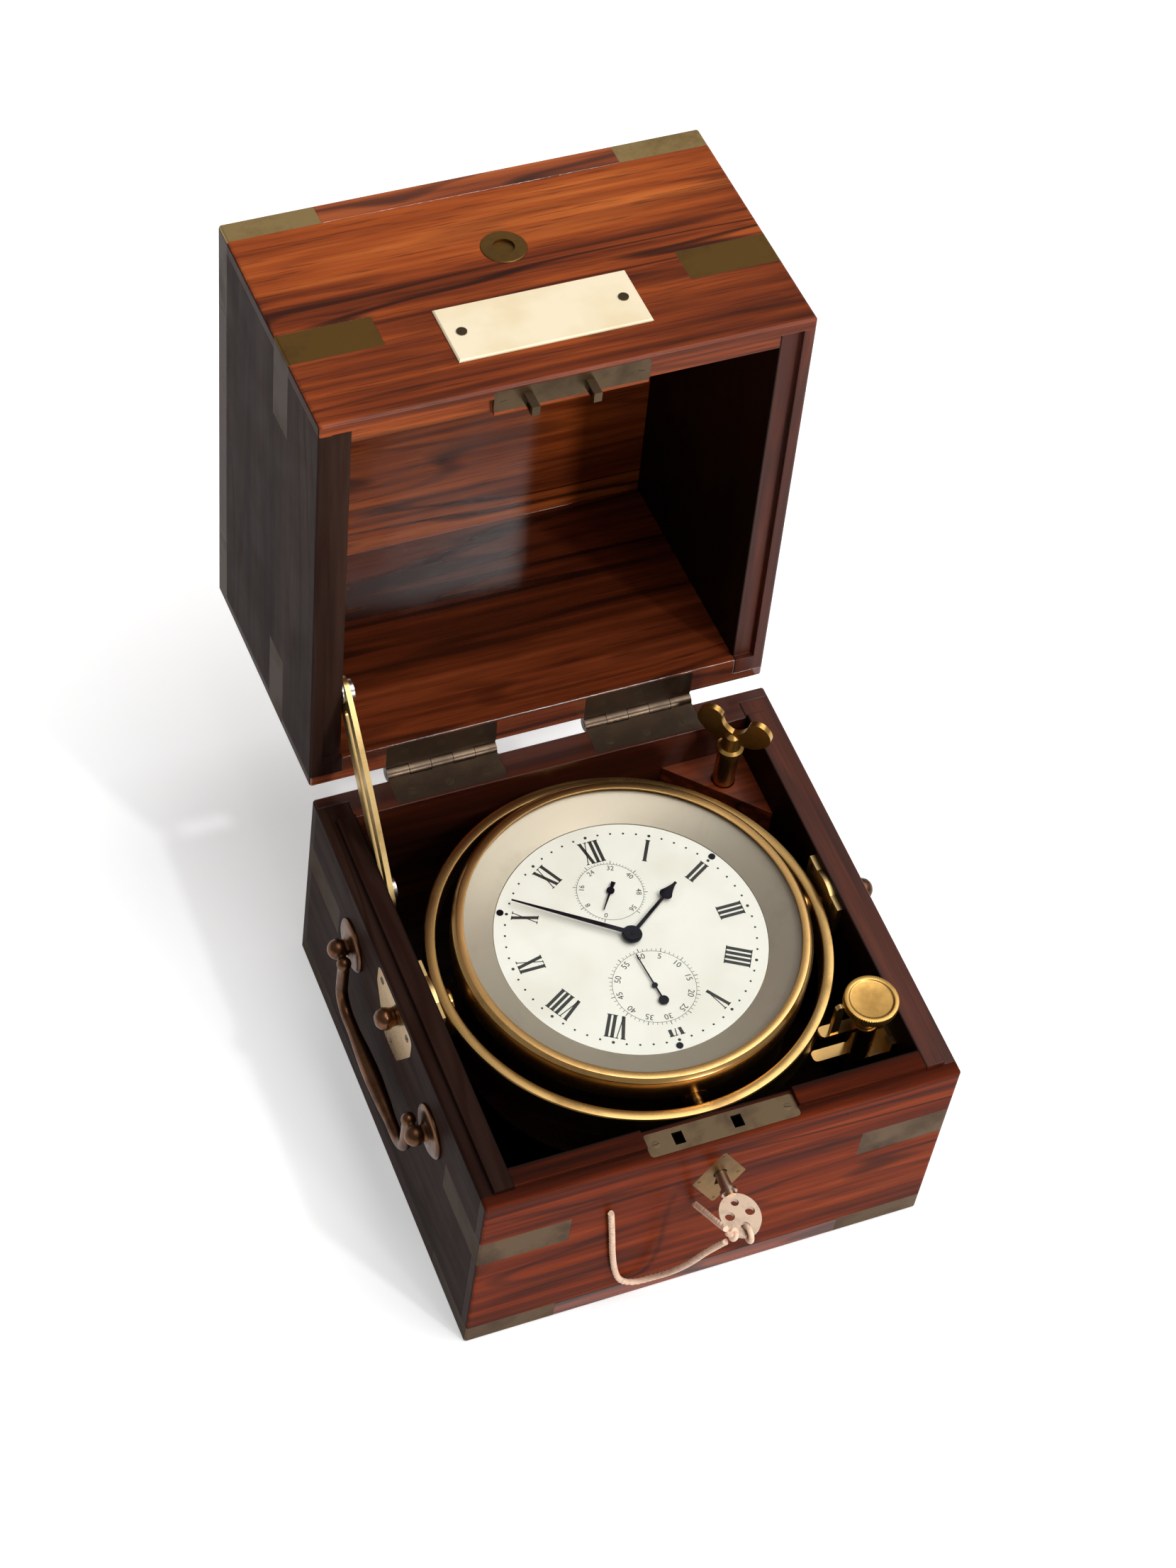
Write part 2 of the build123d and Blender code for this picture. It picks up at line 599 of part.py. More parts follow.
plate_top = DIAL_Z - DIAL_T
under = plate_top - PILLAR_PLATE_T
ledge_in = BOWL_R - BOWL_T - LEDGE_W
ledge = Pos(0, 0, under) * turned([(ledge_in, -2.4), (BOWL_R - 1, -5.0), (BOWL_R - 1, 0), (ledge_in, 0)])
bowl = (bowl - bowl_inside) + ledge
pivot_bore = rod((0, BOWL_R - 6, GIMBAL_Z), (0, BOWL_R + 6, GIMBAL_Z), PIVOT_R + RUN_CLEAR)
bowl = less(bowl, [pivot_bore, mirror(pivot_bore, Plane.XZ)])
save("bowl", bowl)

plate_r = BOWL_R - BOWL_T - PILLAR_PLATE_IN
pillar_plate = Pos(0, 0, plate_top - PILLAR_PLATE_T / 2) * Cylinder(plate_r, PILLAR_PLATE_T)
surround = turned([(DIAL_R + 0.2, plate_top), (plate_r, plate_top), (plate_r, bowl_top), (GLASS_R, bowl_top),
                   (GLASS_R, DIAL_Z + SLOPE_RISE), (SLOPE_R, DIAL_Z + SLOPE_RISE),
                   (DIAL_R + 0.2, DIAL_Z + 0.2)])
save("dial_surround", surround)

glass_low = DIAL_Z + SLOPE_RISE
glass = Pos(0, 0, glass_low) * turned([(0, 0), (GLASS_R, 0), (GLASS_R, 0.7), (GLASS_R - 1.0, GLASS_T),
                                       (0, GLASS_T)])
save("glass", glass)

bezel_in = BOWL_R + BEZEL_FIT
lip_low = glass_low + GLASS_T + 0.05
bezel = turned([(bezel_in, bowl_top - 1.8), (BEZEL_R, bowl_top - 1.8), (BEZEL_R, lip_low - 0.8),
                (BEZEL_R - 1.4, lip_low + 0.7), (bezel_in - BEZEL_LIP, lip_low + 0.7),
                (bezel_in - BEZEL_LIP, lip_low), (bezel_in, lip_low)])
save("bezel", bezel)

# Dial, its three screws, and the frame that carries the hands
dial = Pos(0, 0, DIAL_Z - DIAL_T / 2) * Cylinder(DIAL_R, DIAL_T)
screw_holes = []
dial_screws = []
for angle in (-60.0, 60.0, 181.0):
    x = (DIAL_R - 1.8) * math.sin(math.radians(angle))
    y = (DIAL_R - 1.8) * math.cos(math.radians(angle))
    screw_holes.append(rod((x, y, under), (x, y, DIAL_Z + 1), 0.8))
    dial_screws.append(rod((x, y, plate_top - 2.0), (x, y, DIAL_Z), 0.8)
                       + rod((x, y, DIAL_Z), (x, y, DIAL_Z + 0.35), 1.3))
arbor_r = 0.9
small_r = 0.6
pipe_r = 1.9
centre_hole = rod((0, 0, plate_top - 0.5), (0, 0, DIAL_Z + 1), pipe_r + RUN_CLEAR)
small_holes = [rod((0, y, plate_top - 0.5), (0, y, DIAL_Z + 1), small_r + RUN_CLEAR)
               for y in (SECONDS_Y, RESERVE_Y)]
dial = less(dial, screw_holes + [centre_hole] + small_holes)
save("dial", dial)
save("dial_screws", dial_screws)

frame_holes = [rod((0, 0, plate_top - 4), (0, 0, plate_top + 1), arbor_r + RUN_CLEAR)]
frame_holes += [rod((0, y, plate_top - 4), (0, y, plate_top + 1), small_r + RUN_CLEAR)
                for y in (SECONDS_Y, RESERVE_Y)]
pipe_well = rod((0, 0, plate_top - 1.0), (0, 0, plate_top + 1), pipe_r + 0.3)
pillar_plate = less(pillar_plate, screw_holes + frame_holes + [pipe_well])
save("pillar_plate", pillar_plate)

top_plate = Pos(0, 0, under - TRAIN_H - TOP_PLATE_T / 2) * Cylinder(TOP_PLATE_R, TOP_PLATE_T)
pillar_foot = PILLAR_R * 1.5
for angle in (45, 135, 225, 315):
    x = (TOP_PLATE_R - PILLAR_IN) * math.cos(math.radians(angle))
    y = (TOP_PLATE_R - PILLAR_IN) * math.sin(math.radians(angle))
    pillar = turned([(0, 0), (pillar_foot, 0), (pillar_foot, TRAIN_H * 0.08), (PILLAR_R, TRAIN_H * 0.12),
                     (PILLAR_R, TRAIN_H * 0.47), (PILLAR_R * 1.33, TRAIN_H * 0.5), (PILLAR_R, TRAIN_H * 0.53),
                     (PILLAR_R, TRAIN_H * 0.88), (pillar_foot, TRAIN_H * 0.92), (pillar_foot, TRAIN_H),
                     (0, TRAIN_H)])
    top_plate = top_plate + Pos(x, y, under - TRAIN_H) * pillar
save("top_plate", top_plate)


# Hands

def spade_hand(length, tail, hub_r, stem, spade_l, spade_w, tail_w):
    """The flat outline of a hand with a spade near its tip, pointing along +Y."""
    neck = length - spade_l - spade_w * 0.9
    half = stem / 2
    face = Circle(hub_r)
    face = face + make_face(Polyline([(-half, 0), (half, 0), (half * 0.7, length), (-half * 0.7, length)],
                                     close=True))
    wide = neck + spade_w * 0.42
    spade = make_face([
        ThreePointArc((0, neck), (spade_w * 0.36, neck + spade_w * 0.07), (spade_w / 2, wide)),
        ThreePointArc((spade_w / 2, wide), (spade_w * 0.27, wide + spade_w * 0.5),
                      (half * 0.7, neck + spade_w * 1.5)),
        Line((half * 0.7, neck + spade_w * 1.5), (-half * 0.7, neck + spade_w * 1.5)),
        ThreePointArc((-half * 0.7, neck + spade_w * 1.5), (-spade_w * 0.27, wide + spade_w * 0.5),
                      (-spade_w / 2, wide)),
        ThreePointArc((-spade_w / 2, wide), (-spade_w * 0.36, neck + spade_w * 0.07), (0, neck)),
    ])
    face = face + spade
    if tail > 0:
        face = face + make_face(Polyline([(-half, 0), (half, 0), (tail_w / 2, -tail), (-tail_w / 2, -tail)],
                                         close=True))
    return face


def placed(face, centre_y, angle, level):
    """A hand's outline as a blade at its own height, turned clockwise from the twelve."""
    return Pos(0, centre_y, level) * Rot(0, 0, -angle) * extrude(face, HAND_T)


hour_z = DIAL_Z + 1.7
minute_z = hour_z + 0.95
small_z = DIAL_Z + 0.7
hour_face = spade_hand(HOUR_L, 0, 3.8, 1.5, 4.0, 5.0, 0)
hour = placed(hour_face, 0, HOUR_ANGLE, hour_z)
hour = hour + rod((0, 0, plate_top - 0.7), (0, 0, hour_z), pipe_r)
hour = hour - rod((0, 0, plate_top - 2), (0, 0, hour_z + 2), arbor_r + RUN_CLEAR)
save("hour_hand", hour)

minute_face = Circle(3.0) + make_face(Polyline(
    [(-0.9, 0), (0.9, 0), (0.75, MINUTE_L * 0.435), (0.25, MINUTE_L), (-0.25, MINUTE_L),
     (-0.75, MINUTE_L * 0.435)], close=True))
minute = placed(minute_face, 0, MINUTE_ANGLE, minute_z)
minute = minute + rod((0, 0, under), (0, 0, minute_z + HAND_T + 0.3), arbor_r)
save("minute_hand", minute)

second_face = Circle(1.1) + make_face(Polyline(
    [(-0.3, -7.0), (0.3, -7.0), (0.15, SECOND_L), (-0.15, SECOND_L)], close=True))
second_face = second_face + Pos(0, -7.0) * Circle(1.9)
second = placed(second_face, SECONDS_Y, SECOND_ANGLE, small_z)
second = second + rod((0, SECONDS_Y, under), (0, SECONDS_Y, small_z + HAND_T), small_r)
save("seconds_hand", second)

reserve_face = Circle(1.5) + make_face(Polyline(
    [(-0.9, -4.0), (0.9, -4.0), (0.45, 0), (0.18, RESERVE_L), (-0.18, RESERVE_L), (-0.45, 0)], close=True))
reserve = placed(reserve_face, RESERVE_Y, RESERVE_ANGLE, small_z)
reserve = reserve + rod((0, RESERVE_Y, under), (0, RESERVE_Y, small_z + HAND_T), small_r)
save("reserve_hand", reserve)


# Gimbal lock: bracket on the right wall, forked arm on its post, and a thumb screw

post_x = IN_W - THUMB_R - THUMB_GAP
post_y = -IN_D + POST_Y
ring_low = GIMBAL_Z - half_h
ring_high = GIMBAL_Z + half_h
table_top = ring_low - ARM_CLEAR - ARM_T - 0.3
bracket = block((post_x, IN_W), (post_y - 5.0, post_y + 5.0), (table_top - 3.0, table_top))
bracket = bracket + rod((post_x, post_y, table_top - 3.0), (post_x, post_y, table_top), 5.0)
bracket = bracket + block((IN_W - 2.0, IN_W), (post_y - 8.0, post_y + 8.0),
                          (table_top - 9.0, table_top + 10.0))
brace_from = post_x + 4.4
brace_to = IN_W - 2.0
bracket = bracket + plate([(brace_from, -3.0), (brace_to, -3.0), (brace_to, -9.0)],
                          (0, post_y - 1.0, table_top), -2.0, ((1, 0, 0), (0, -1, 0)))
bracket = bracket - rod((post_x, post_y, 0), (post_x, post_y, BASE_H), POST_R + RUN_CLEAR)
save("lock_bracket", bracket)

thumb_top = BASE_H + THUMB_RISE
thumb = rod((post_x, post_y, table_top - 8.0), (post_x, post_y, thumb_top - 1), POST_R)
disc = Pos(post_x, post_y, thumb_top - THUMB_T) * Cylinder(
    THUMB_R, THUMB_T, align=(Align.CENTER, Align.CENTER, Align.MIN))
disc = chamfer(disc.edges(), 0.5)
collar = rod((post_x, post_y, ring_high + ARM_CLEAR + ARM_T + 0.25), (post_x, post_y, thumb_top - 1), 4.2)
collet = rod((post_x, post_y, table_top - 8.0), (post_x, post_y, table_top - 3.3), 3.6)
save("thumb_screw", thumb + disc + collar + collet)

hub_low = table_top + 0.25
hub_top = ring_high + ARM_CLEAR + ARM_T
arm = rod((post_x, post_y, hub_low), (post_x, post_y, hub_top), ARM_HUB_R)
for low in (hub_low, ring_high + ARM_CLEAR):
    prong = block((post_x - ARM_L, post_x), (post_y - 2.4, post_y + 2.4), (low, low + ARM_T))
    arm = arm + fillet(prong.edges().filter_by(Axis.Z), 1.6)
finger_x = post_x - ARM_L + 5.0
finger = block((finger_x - 1.6, finger_x + 1.6), (post_y - 2.0, post_y - 0.2), (hub_top - 0.5, hub_top + FINGER_H))
finger = fillet(finger.edges().filter_by(Axis.Y).sort_by(Axis.Z)[-2:], 1.5)
arm = arm + finger
arm = arm - rod((post_x, post_y, 0), (post_x, post_y, BASE_H + 5), POST_R + RUN_CLEAR)
save("lock_arm", arm)


# Winding key in its corner block

block_foot = BOTTOM_T
corner = [(IN_W, IN_D), (IN_W - BLOCK_LEG, IN_D), (IN_W, IN_D - BLOCK_LEG)]
socket = extrude(make_face(Polyline([(x, y, block_foot) for x, y in corner], close=True)),
                 BLOCK_TOP - block_foot, dir=(0, 0, 1))
wing_foot = BASE_H + TIPSY_RISE
tipsy_foot = wing_foot - TIPSY_LEN
socket = socket - rod((TIPSY_C, TIPSY_C, tipsy_foot - 0.3), (TIPSY_C, TIPSY_C, BLOCK_TOP + 1), TIPSY_TOP_R)
save("key_block", socket)

taper = Pos(TIPSY_C, TIPSY_C, tipsy_foot) * turned([
    (1.6, 0), (TIPSY_FOOT_R, 0), (TIPSY_FOOT_R, TIPSY_LEN / 2 - 2.0), (TIPSY_TOP_R - 0.3, TIPSY_LEN / 2),
    (TIPSY_TOP_R - 0.3, TIPSY_LEN - 8.0), (TIPSY_TOP_R + 0.6, TIPSY_LEN - 7.0),
    (TIPSY_TOP_R + 0.6, TIPSY_LEN - 5.0), (TIPSY_TOP_R - 0.6, TIPSY_LEN - 4.0), (3.0, TIPSY_LEN + 2.0),
    (1.2, TIPSY_LEN + 3.4), (0.4, TIPSY_LEN + 3.6), (0.4, 14.0), (1.6, 12.0)])
wing = make_face([
    ThreePointArc((0, 1.0), (WING_SPAN * 0.27, -0.5), (WING_SPAN * 0.43, WING_H * 0.22)),
    ThreePointArc((WING_SPAN * 0.43, WING_H * 0.22), (WING_SPAN / 2, WING_H * 0.55),
                  (WING_SPAN * 0.42, WING_H * 0.9)),
    ThreePointArc((WING_SPAN * 0.42, WING_H * 0.9), (WING_SPAN * 0.3, WING_H),
                  (WING_SPAN * 0.18, WING_H * 0.84)),
    ThreePointArc((WING_SPAN * 0.18, WING_H * 0.84), (WING_SPAN * 0.1, WING_H * 0.42), (0, WING_H * 0.3)),
    Line((0, WING_H * 0.3), (0, 1.0)),
])
wing_plane = Plane(origin=(TIPSY_C, TIPSY_C, wing_foot), x_dir=(1, -1, 0), z_dir=(-1, -1, 0))
wings = extrude(wing_plane * (wing + mirror(wing, Plane.YZ)), WING_T / 2, both=True)
save("winding_key", taper + wings)


# Handles: a pair of lugs and a drop bail on each side

def lug(y):
    """A round plate and a ball-ended lug on the right side, bored for the bail."""
    base = rod((HALF_W, y, LUG_Z), (HALF_W + LUG_PLATE_T, y, LUG_Z), LUG_PLATE_R)
    base = chamfer(base.edges().sort_by(Axis.X)[-1:], 0.8)
    neck = rod((HALF_W, y, LUG_Z), (HALF_W + LUG_OUT, y, LUG_Z), 3.4)
    ball = Pos(HALF_W + LUG_OUT, y, LUG_Z) * Sphere(LUG_R)
    x = HALF_W + LUG_OUT
    bore = rod((x, y - 8, LUG_Z), (x, y + 8, LUG_Z), BAIL_PIN_R + RUN_CLEAR)
    return (base + neck + ball) - bore


lugs = [lug(-LUG_Y), lug(LUG_Y)]
save("handle_lugs", lugs + [mirror(s, Plane.YZ) for s in lugs])


def bail():
    """The right bail, hanging: a bent rod with a swelling grip and a pin at each end."""
    x = HALF_W + LUG_OUT
    low = LUG_Z - BAIL_DROP
    path = FilletPolyline((x, -BAIL_HALF, LUG_Z), (x, -BAIL_HALF, low), (x, BAIL_HALF, low),
                          (x, BAIL_HALF, LUG_Z), radius=BAIL_BEND)
    bent = sweep(Plane(origin=path @ 0, z_dir=path % 0) * Circle(BAIL_R), path)
    for side in (-1, 1):
        bent = bent + Pos(x, side * BAIL_HALF, LUG_Z) * Sphere(BAIL_R + 0.5)
        bent = bent + rod((x, side * BAIL_HALF, LUG_Z), (x, side * (LUG_Y + LUG_R - 0.6), LUG_Z), BAIL_PIN_R)
    grip = turned([(0, -GRIP_HALF), (BAIL_R, -GRIP_HALF), (BAIL_R + 0.6, -GRIP_HALF * 0.6),
                   (BAIL_SWELL, -GRIP_HALF * 0.15), (BAIL_SWELL, GRIP_HALF * 0.15),
                   (BAIL_R + 0.6, GRIP_HALF * 0.6), (BAIL_R, GRIP_HALF), (0, GRIP_HALF)])
    return bent + Pos(x, 0, low) * Rot(90, 0, 0) * grip


right_bail = bail()
save("bail_right", right_bail)
save("bail_left", mirror(right_bail, Plane.YZ))


# Boards of the base

def board_front(low, high, side):
    """A front (side -1) or back (side 1) board, its ends rebated to lap the side boards."""
    whole = block((-HALF_W, HALF_W), (side * HALF_D, side * IN_D), (low, high))
    for end in (-1, 1):
        whole = whole - block((end * IN_W, end * (HALF_W + 1)), (side * (HALF_D - LAP), side * (IN_D - 1)),
                              (low - 1, high + 1))
    return whole


def board_side(low, high):
    """The right-hand board, between the laps."""
    return block((IN_W, HALF_W), (-HALF_D + LAP, HALF_D - LAP), (low, high))


lip_out_w = IN_W + LIP_T
lip_out_d = IN_D + LIP_T
lip_top = BASE_H + LIP_H
lock_gap = SELVEDGE_HALF_W + 0.3

front = board_front(BOTTOM_T, BASE_H, -1) & BASE_OUTSIDE
for sx in (-1, 1):
    front = front + block((sx * lock_gap, sx * IN_W), (-lip_out_d, -IN_D), (BASE_H - 1, lip_top))
front = less(front, base_middle + [selvedge_blank(BASE_H - PLATE_T, BASE_H + 1), case_outside, lozenge,
                                   key_hole, key_slot])
save("base_front", front)

back = board_front(BOTTOM_T, BASE_H, 1) & BASE_OUTSIDE
save("base_back", less(back, base_middle + leaf_seats))

wall_bore = rod((IN_W - 1, 0, GIMBAL_Z), (HALF_W + 1, 0, GIMBAL_Z), SIDE_SCREW_R + 0.05)
right = board_side(BOTTOM_T, BASE_H) & BASE_OUTSIDE
right = right + block((IN_W, lip_out_w), (-lip_out_d, IN_D), (BASE_H - 1, lip_top))
right = less(right, base_middle + [outer_seat, wall_bore])
left = mirror(board_side(BOTTOM_T, BASE_H) & BASE_OUTSIDE, Plane.YZ)
left = left + block((-IN_W, -lip_out_w), (-lip_out_d, IN_D), (BASE_H - 1, lip_top))
left = less(left, base_middle + [mirror(outer_seat, Plane.YZ), mirror(wall_bore, Plane.YZ), stay_stud])
save("base_right", right)
save("base_left", left)

bottom = block((-HALF_W, HALF_W), (-HALF_D, HALF_D), (0, BOTTOM_T)) & BASE_OUTSIDE
save("base_bottom", less(bottom, base_foot))

# Boards of the lid, with a rebate that clears the dust lip
boards_top = LID_TOP - TOP_T
rebate_top = BASE_H + LIP_H + LIP_GAP
front_rebates = [block((sx * (lock_gap - LIP_GAP * 2), sx * (HALF_W + 1)), (-lip_out_d - LIP_GAP, -IN_D + 1),
                       (BASE_H - 1, rebate_top)) for sx in (-1, 1)]
end_keep = block((lip_out_w + LIP_GAP, HALF_W + 1), (-HALF_D, -IN_D), (BASE_H - 2, rebate_top + 1))
front_rebates = [front_rebates[0] - mirror(end_keep, Plane.YZ), front_rebates[1] - end_keep]
roundel_seat = rod((0, -HALF_D - 1, BASE_H + ROUNDEL_Z), (0, -HALF_D + 2.4, BASE_H + ROUNDEL_Z), ROUNDEL_R)
plate_seat_depth = 0.6
plate_mid = BASE_H + PLATE_Z
name_plate = block((-PLATE_W / 2, PLATE_W / 2), (-HALF_D - PLATE_PROUD, -HALF_D + plate_seat_depth),
                   (plate_mid - PLATE_H / 2, plate_mid + PLATE_H / 2))
plate_seat = name_plate
name_plate = chamfer(name_plate.edges().group_by(Axis.Y)[0], 0.5)
screw_bores = [rod((s * PLATE_SCREW_X, -HALF_D - 3, plate_mid), (s * PLATE_SCREW_X, -HALF_D + 7, plate_mid), 1.0)
               for s in (-1, 1)]
lid_front = board_front(BASE_H, boards_top, -1) & LID_OUTSIDE
lid_front = less(lid_front, lid_middle + front_rebates + [selvedge_blank(BASE_H - 1, BASE_H + PLATE_T),
                                                         roundel_seat, plate_seat] + screw_bores)
save("lid_front", opened(lid_front))

lid_back = board_front(BASE_H, boards_top, 1) & LID_OUTSIDE
save("lid_back", opened(less(lid_back, lid_middle + leaf_seats)))

side_rebate = block((IN_W - 1, lip_out_w + LIP_GAP), (-lip_out_d - LIP_GAP, IN_D + LIP_GAP),
                    (BASE_H - 1, rebate_top))
lid_right = less(board_side(BASE_H, boards_top) & LID_OUTSIDE, lid_middle + [side_rebate])
lid_left = mirror(board_side(BASE_H, boards_top) & LID_OUTSIDE, Plane.YZ)
lid_left = less(lid_left, lid_middle + [mirror(side_rebate, Plane.YZ), stay_screw])
save("lid_right", opened(lid_right))
save("lid_left", opened(lid_left))

lid_top = block((-HALF_W, HALF_W), (-HALF_D, HALF_D), (boards_top, LID_TOP)) & LID_OUTSIDE
save("lid_top", opened(less(lid_top, lid_upper)))

# Roundel and name plate on the lid's front
roundel_y = -HALF_D
ring_face = rod((0, roundel_y - 0.4, BASE_H + ROUNDEL_Z), (0, roundel_y + 2.4, BASE_H + ROUNDEL_Z), ROUNDEL_R)
ring_face = chamfer(ring_face.edges().sort_by(Axis.Y)[:1], 0.3)
sink = rod((0, roundel_y - 1, BASE_H + ROUNDEL_Z), (0, roundel_y + 3, BASE_H + ROUNDEL_Z), ROUNDEL_HOLE_R)
save("roundel_ring", opened(ring_face - sink))
centre = rod((0, roundel_y + 0.9, BASE_H + ROUNDEL_Z), (0, roundel_y + 2.4, BASE_H + ROUNDEL_Z), ROUNDEL_HOLE_R)
save("roundel_centre", opened(centre))

plate_screws = []
for s in (-1, 1):
    x = s * PLATE_SCREW_X
    shank = rod((x, -HALF_D - PLATE_PROUD, plate_mid), (x, -HALF_D + PLATE_SCREW_L, plate_mid), 1.0)
    head = rod((x, -HALF_D - PLATE_PROUD - 0.5, plate_mid), (x, -HALF_D - PLATE_PROUD, plate_mid), PLATE_SCREW_R)
    plate_screws.append(shank + head)
save("name_plate", opened(less(name_plate, screw_bores)))
save("name_plate_screws", [opened(s) for s in plate_screws])

# Places that the joints use
print("hinge", HINGE_Y, BASE_H, "stay pivot", round(pivot_y, 4), round(pivot_z, 4), "gimbal", GIMBAL_Z)
print("lug", HALF_W + LUG_OUT, LUG_Z, "key", KEY_Z, "hands", SECONDS_Y, RESERVE_Y, "thumb top", thumb_top)
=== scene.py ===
# %% [markdown]
# # A marine chronometer in its rosewood box
# This lesson dresses a CAD model of a ship's chronometer. The box is brass-bound rosewood, its lid stands open
# on a slotted stay, and the clock hangs level in a brass gimbal. The CAD model gives every size, so we first
# load it.

# %% Load the imported CAD model
import math
import bmesh
import bpy
import numpy as np
from mathutils import Matrix, Vector


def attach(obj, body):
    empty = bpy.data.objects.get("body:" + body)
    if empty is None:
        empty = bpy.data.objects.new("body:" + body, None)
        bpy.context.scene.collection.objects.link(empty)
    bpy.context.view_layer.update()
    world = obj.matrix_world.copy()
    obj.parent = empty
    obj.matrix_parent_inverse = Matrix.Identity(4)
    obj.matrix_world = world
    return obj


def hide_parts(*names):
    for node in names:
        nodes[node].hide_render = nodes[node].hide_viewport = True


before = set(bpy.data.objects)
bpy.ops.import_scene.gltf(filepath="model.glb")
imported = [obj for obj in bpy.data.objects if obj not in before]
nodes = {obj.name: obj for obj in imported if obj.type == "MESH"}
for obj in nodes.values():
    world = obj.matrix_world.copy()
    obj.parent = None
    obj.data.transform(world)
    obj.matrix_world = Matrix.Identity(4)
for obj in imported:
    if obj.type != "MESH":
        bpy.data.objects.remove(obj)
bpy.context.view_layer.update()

# %% [markdown]
# ## Working sizes
# We work in millimetres and turn them into Blender's metres only when a mesh is made. The lid was drawn shut and
# then swung open about the hinge pins, so we keep the same turn here: lid pieces are easier to place shut.

# %% Sizes in millimetres
MM = 0.001
SIDES = (-1, 1)
HALF = 92.0  # half the box's width and depth
INSIDE = 79.5  # from the middle to a wall's inner face
RIM = 97.0  # top edge of the base
LID_TOP = 205.0  # top of the shut lid
HINGE_Y = 95.0
LID_OPEN = 94.7  # degrees from shut
GIMBAL_Z = 84.5
DIAL_Z = 94.7
KEY_Z = 73.9
LUG_X, LUG_Y, LUG_Z = 98.0, 42.0, 71.0
SMALL_Y, SMALL_R = -22.6, 15.5  # the seconds dial
RESERVE_Y, RESERVE_R = 21.1, 12.5  # the up and down dial
POST_X, POST_Y = 68.7, -59.0


def opened(points):
    """Lid points drawn shut, turned about the hinge axis: y and z turn by the opening angle, x stays."""
    turn = math.radians(-LID_OPEN)
    y = points[..., 1] - HINGE_Y
    z = points[..., 2] - RIM
    return np.stack([points[..., 0], HINGE_Y + y * math.cos(turn) - z * math.sin(turn),
                     RIM + y * math.sin(turn) + z * math.cos(turn)], -1)


print("lid's front edge when open", opened(np.array([0.0, -HALF, LID_TOP])).round(1))

# %% [markdown]
# ## Surfaces from numbers
# Nearly every brass piece was turned on a lathe or bent from bar, so a surface here is a grid of points: rows
# follow a profile or a path, columns go round. One function knits such grids into a mesh. A row squeezed to one
# point closes an end, and the signed volume of each grid tells us whether its faces point outwards.

# %% Knit grids into a mesh
WELD = 1e-7


def knit(name, grids, loop=False):
    """One mesh from grids of points (rows, columns, 3): quads join neighbours, the columns close on themselves,
    and with loop the rows do too. Squeezed rows are welded, and faces are turned to point outwards."""
    points, faces, start = [], [], 0
    for grid in grids:
        rows, cols = grid.shape[:2]
        i = np.arange(rows if loop else rows - 1)[:, None]
        j = np.arange(cols)[None, :]
        near, far = start + i * cols, start + (i + 1) % rows * cols
        quads = np.stack([near + j, near + (j + 1) % cols, far + (j + 1) % cols, far + j], -1).reshape(-1, 4)
        flat = grid.reshape(-1, 3)
        a, b, c, d = (flat[quads[:, k] - start] for k in range(4))
        volume = (np.einsum("ij,ij->i", a, np.cross(b, c)) + np.einsum("ij,ij->i", a, np.cross(c, d))).sum()
        faces.append(quads if volume > 0 else quads[:, ::-1])
        points.append(flat)
        start += len(flat)
    mesh = bpy.data.meshes.new(name)
    mesh.from_pydata((np.concatenate(points) * MM).tolist(), [], np.concatenate(faces).tolist())
    work = bmesh.new()
    work.from_mesh(mesh)
    bmesh.ops.remove_doubles(work, verts=work.verts, dist=WELD)
    work.to_mesh(mesh)
    work.free()
    return mesh


def piece(name, mesh, material, body, stands_for=(), sharp=32):
    """An object for a mesh at the origin, smooth but for edges sharper than an angle, riding a CAD body."""
    mesh.materials.append(material)
    mesh.polygons.foreach_set("use_smooth", np.ones(len(mesh.polygons), bool))
    mesh.set_sharp_from_angle(angle=math.radians(sharp))
    made = bpy.data.objects.new(name, mesh)
    bpy.context.scene.collection.objects.link(made)
    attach(made, body)
    if stands_for:
        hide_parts(*stands_for)
    print(name, len(mesh.polygons), "faces")
    return made


def knitted(name, grids, material, body, stands_for=(), loop=False, sharp=32):
    """A piece whose mesh is knitted from grids."""
    return piece(name, knit(name, grids, loop), material, body, stands_for, sharp)


# %% Grids for turned, bent and flat pieces


def angles(count):
    """Evenly spaced angles once round."""
    return np.arange(count) * 2 * np.pi / count


def unit(vectors):
    """Rows of vectors brought to length one."""
    return vectors / np.linalg.norm(vectors, axis=1, keepdims=True)


def lathe(profile, count=64):
    """A profile of (radius, height) pairs carried round Z: x = r cos t, y = r sin t, z = h."""
    r, h = np.array(profile, float).T
    t = angles(count)
    return np.stack([np.outer(r, np.cos(t)), np.outer(r, np.sin(t)), np.outer(h, np.ones(count))], -1)


def rounded(profile, radius, closed=True, steps=4):
    """A profile with every corner replaced by points on a short curve that is tangent to both sides: a
    quadratic blend (1-s)^2 before + 2s(1-s) corner + s^2 after, starting a radius away from the corner."""
    corner = np.array(profile, float)
    before, after = np.roll(corner, 1, 0) - corner, np.roll(corner, -1, 0) - corner
    lengths = [np.linalg.norm(v, axis=1, keepdims=True) for v in (before, after)]
    near = [corner + v / n * np.minimum(radius, n * 0.45) for v, n in zip((before, after), lengths)]
    s = np.linspace(0, 1, steps)[None, :, None]
    bent = (1 - s) ** 2 * near[0][:, None] + 2 * s * (1 - s) * corner[:, None] + s ** 2 * near[1][:, None]
    if not closed:
        bent[0], bent[-1] = corner[0], corner[-1]
    return bent.reshape(-1, 2)


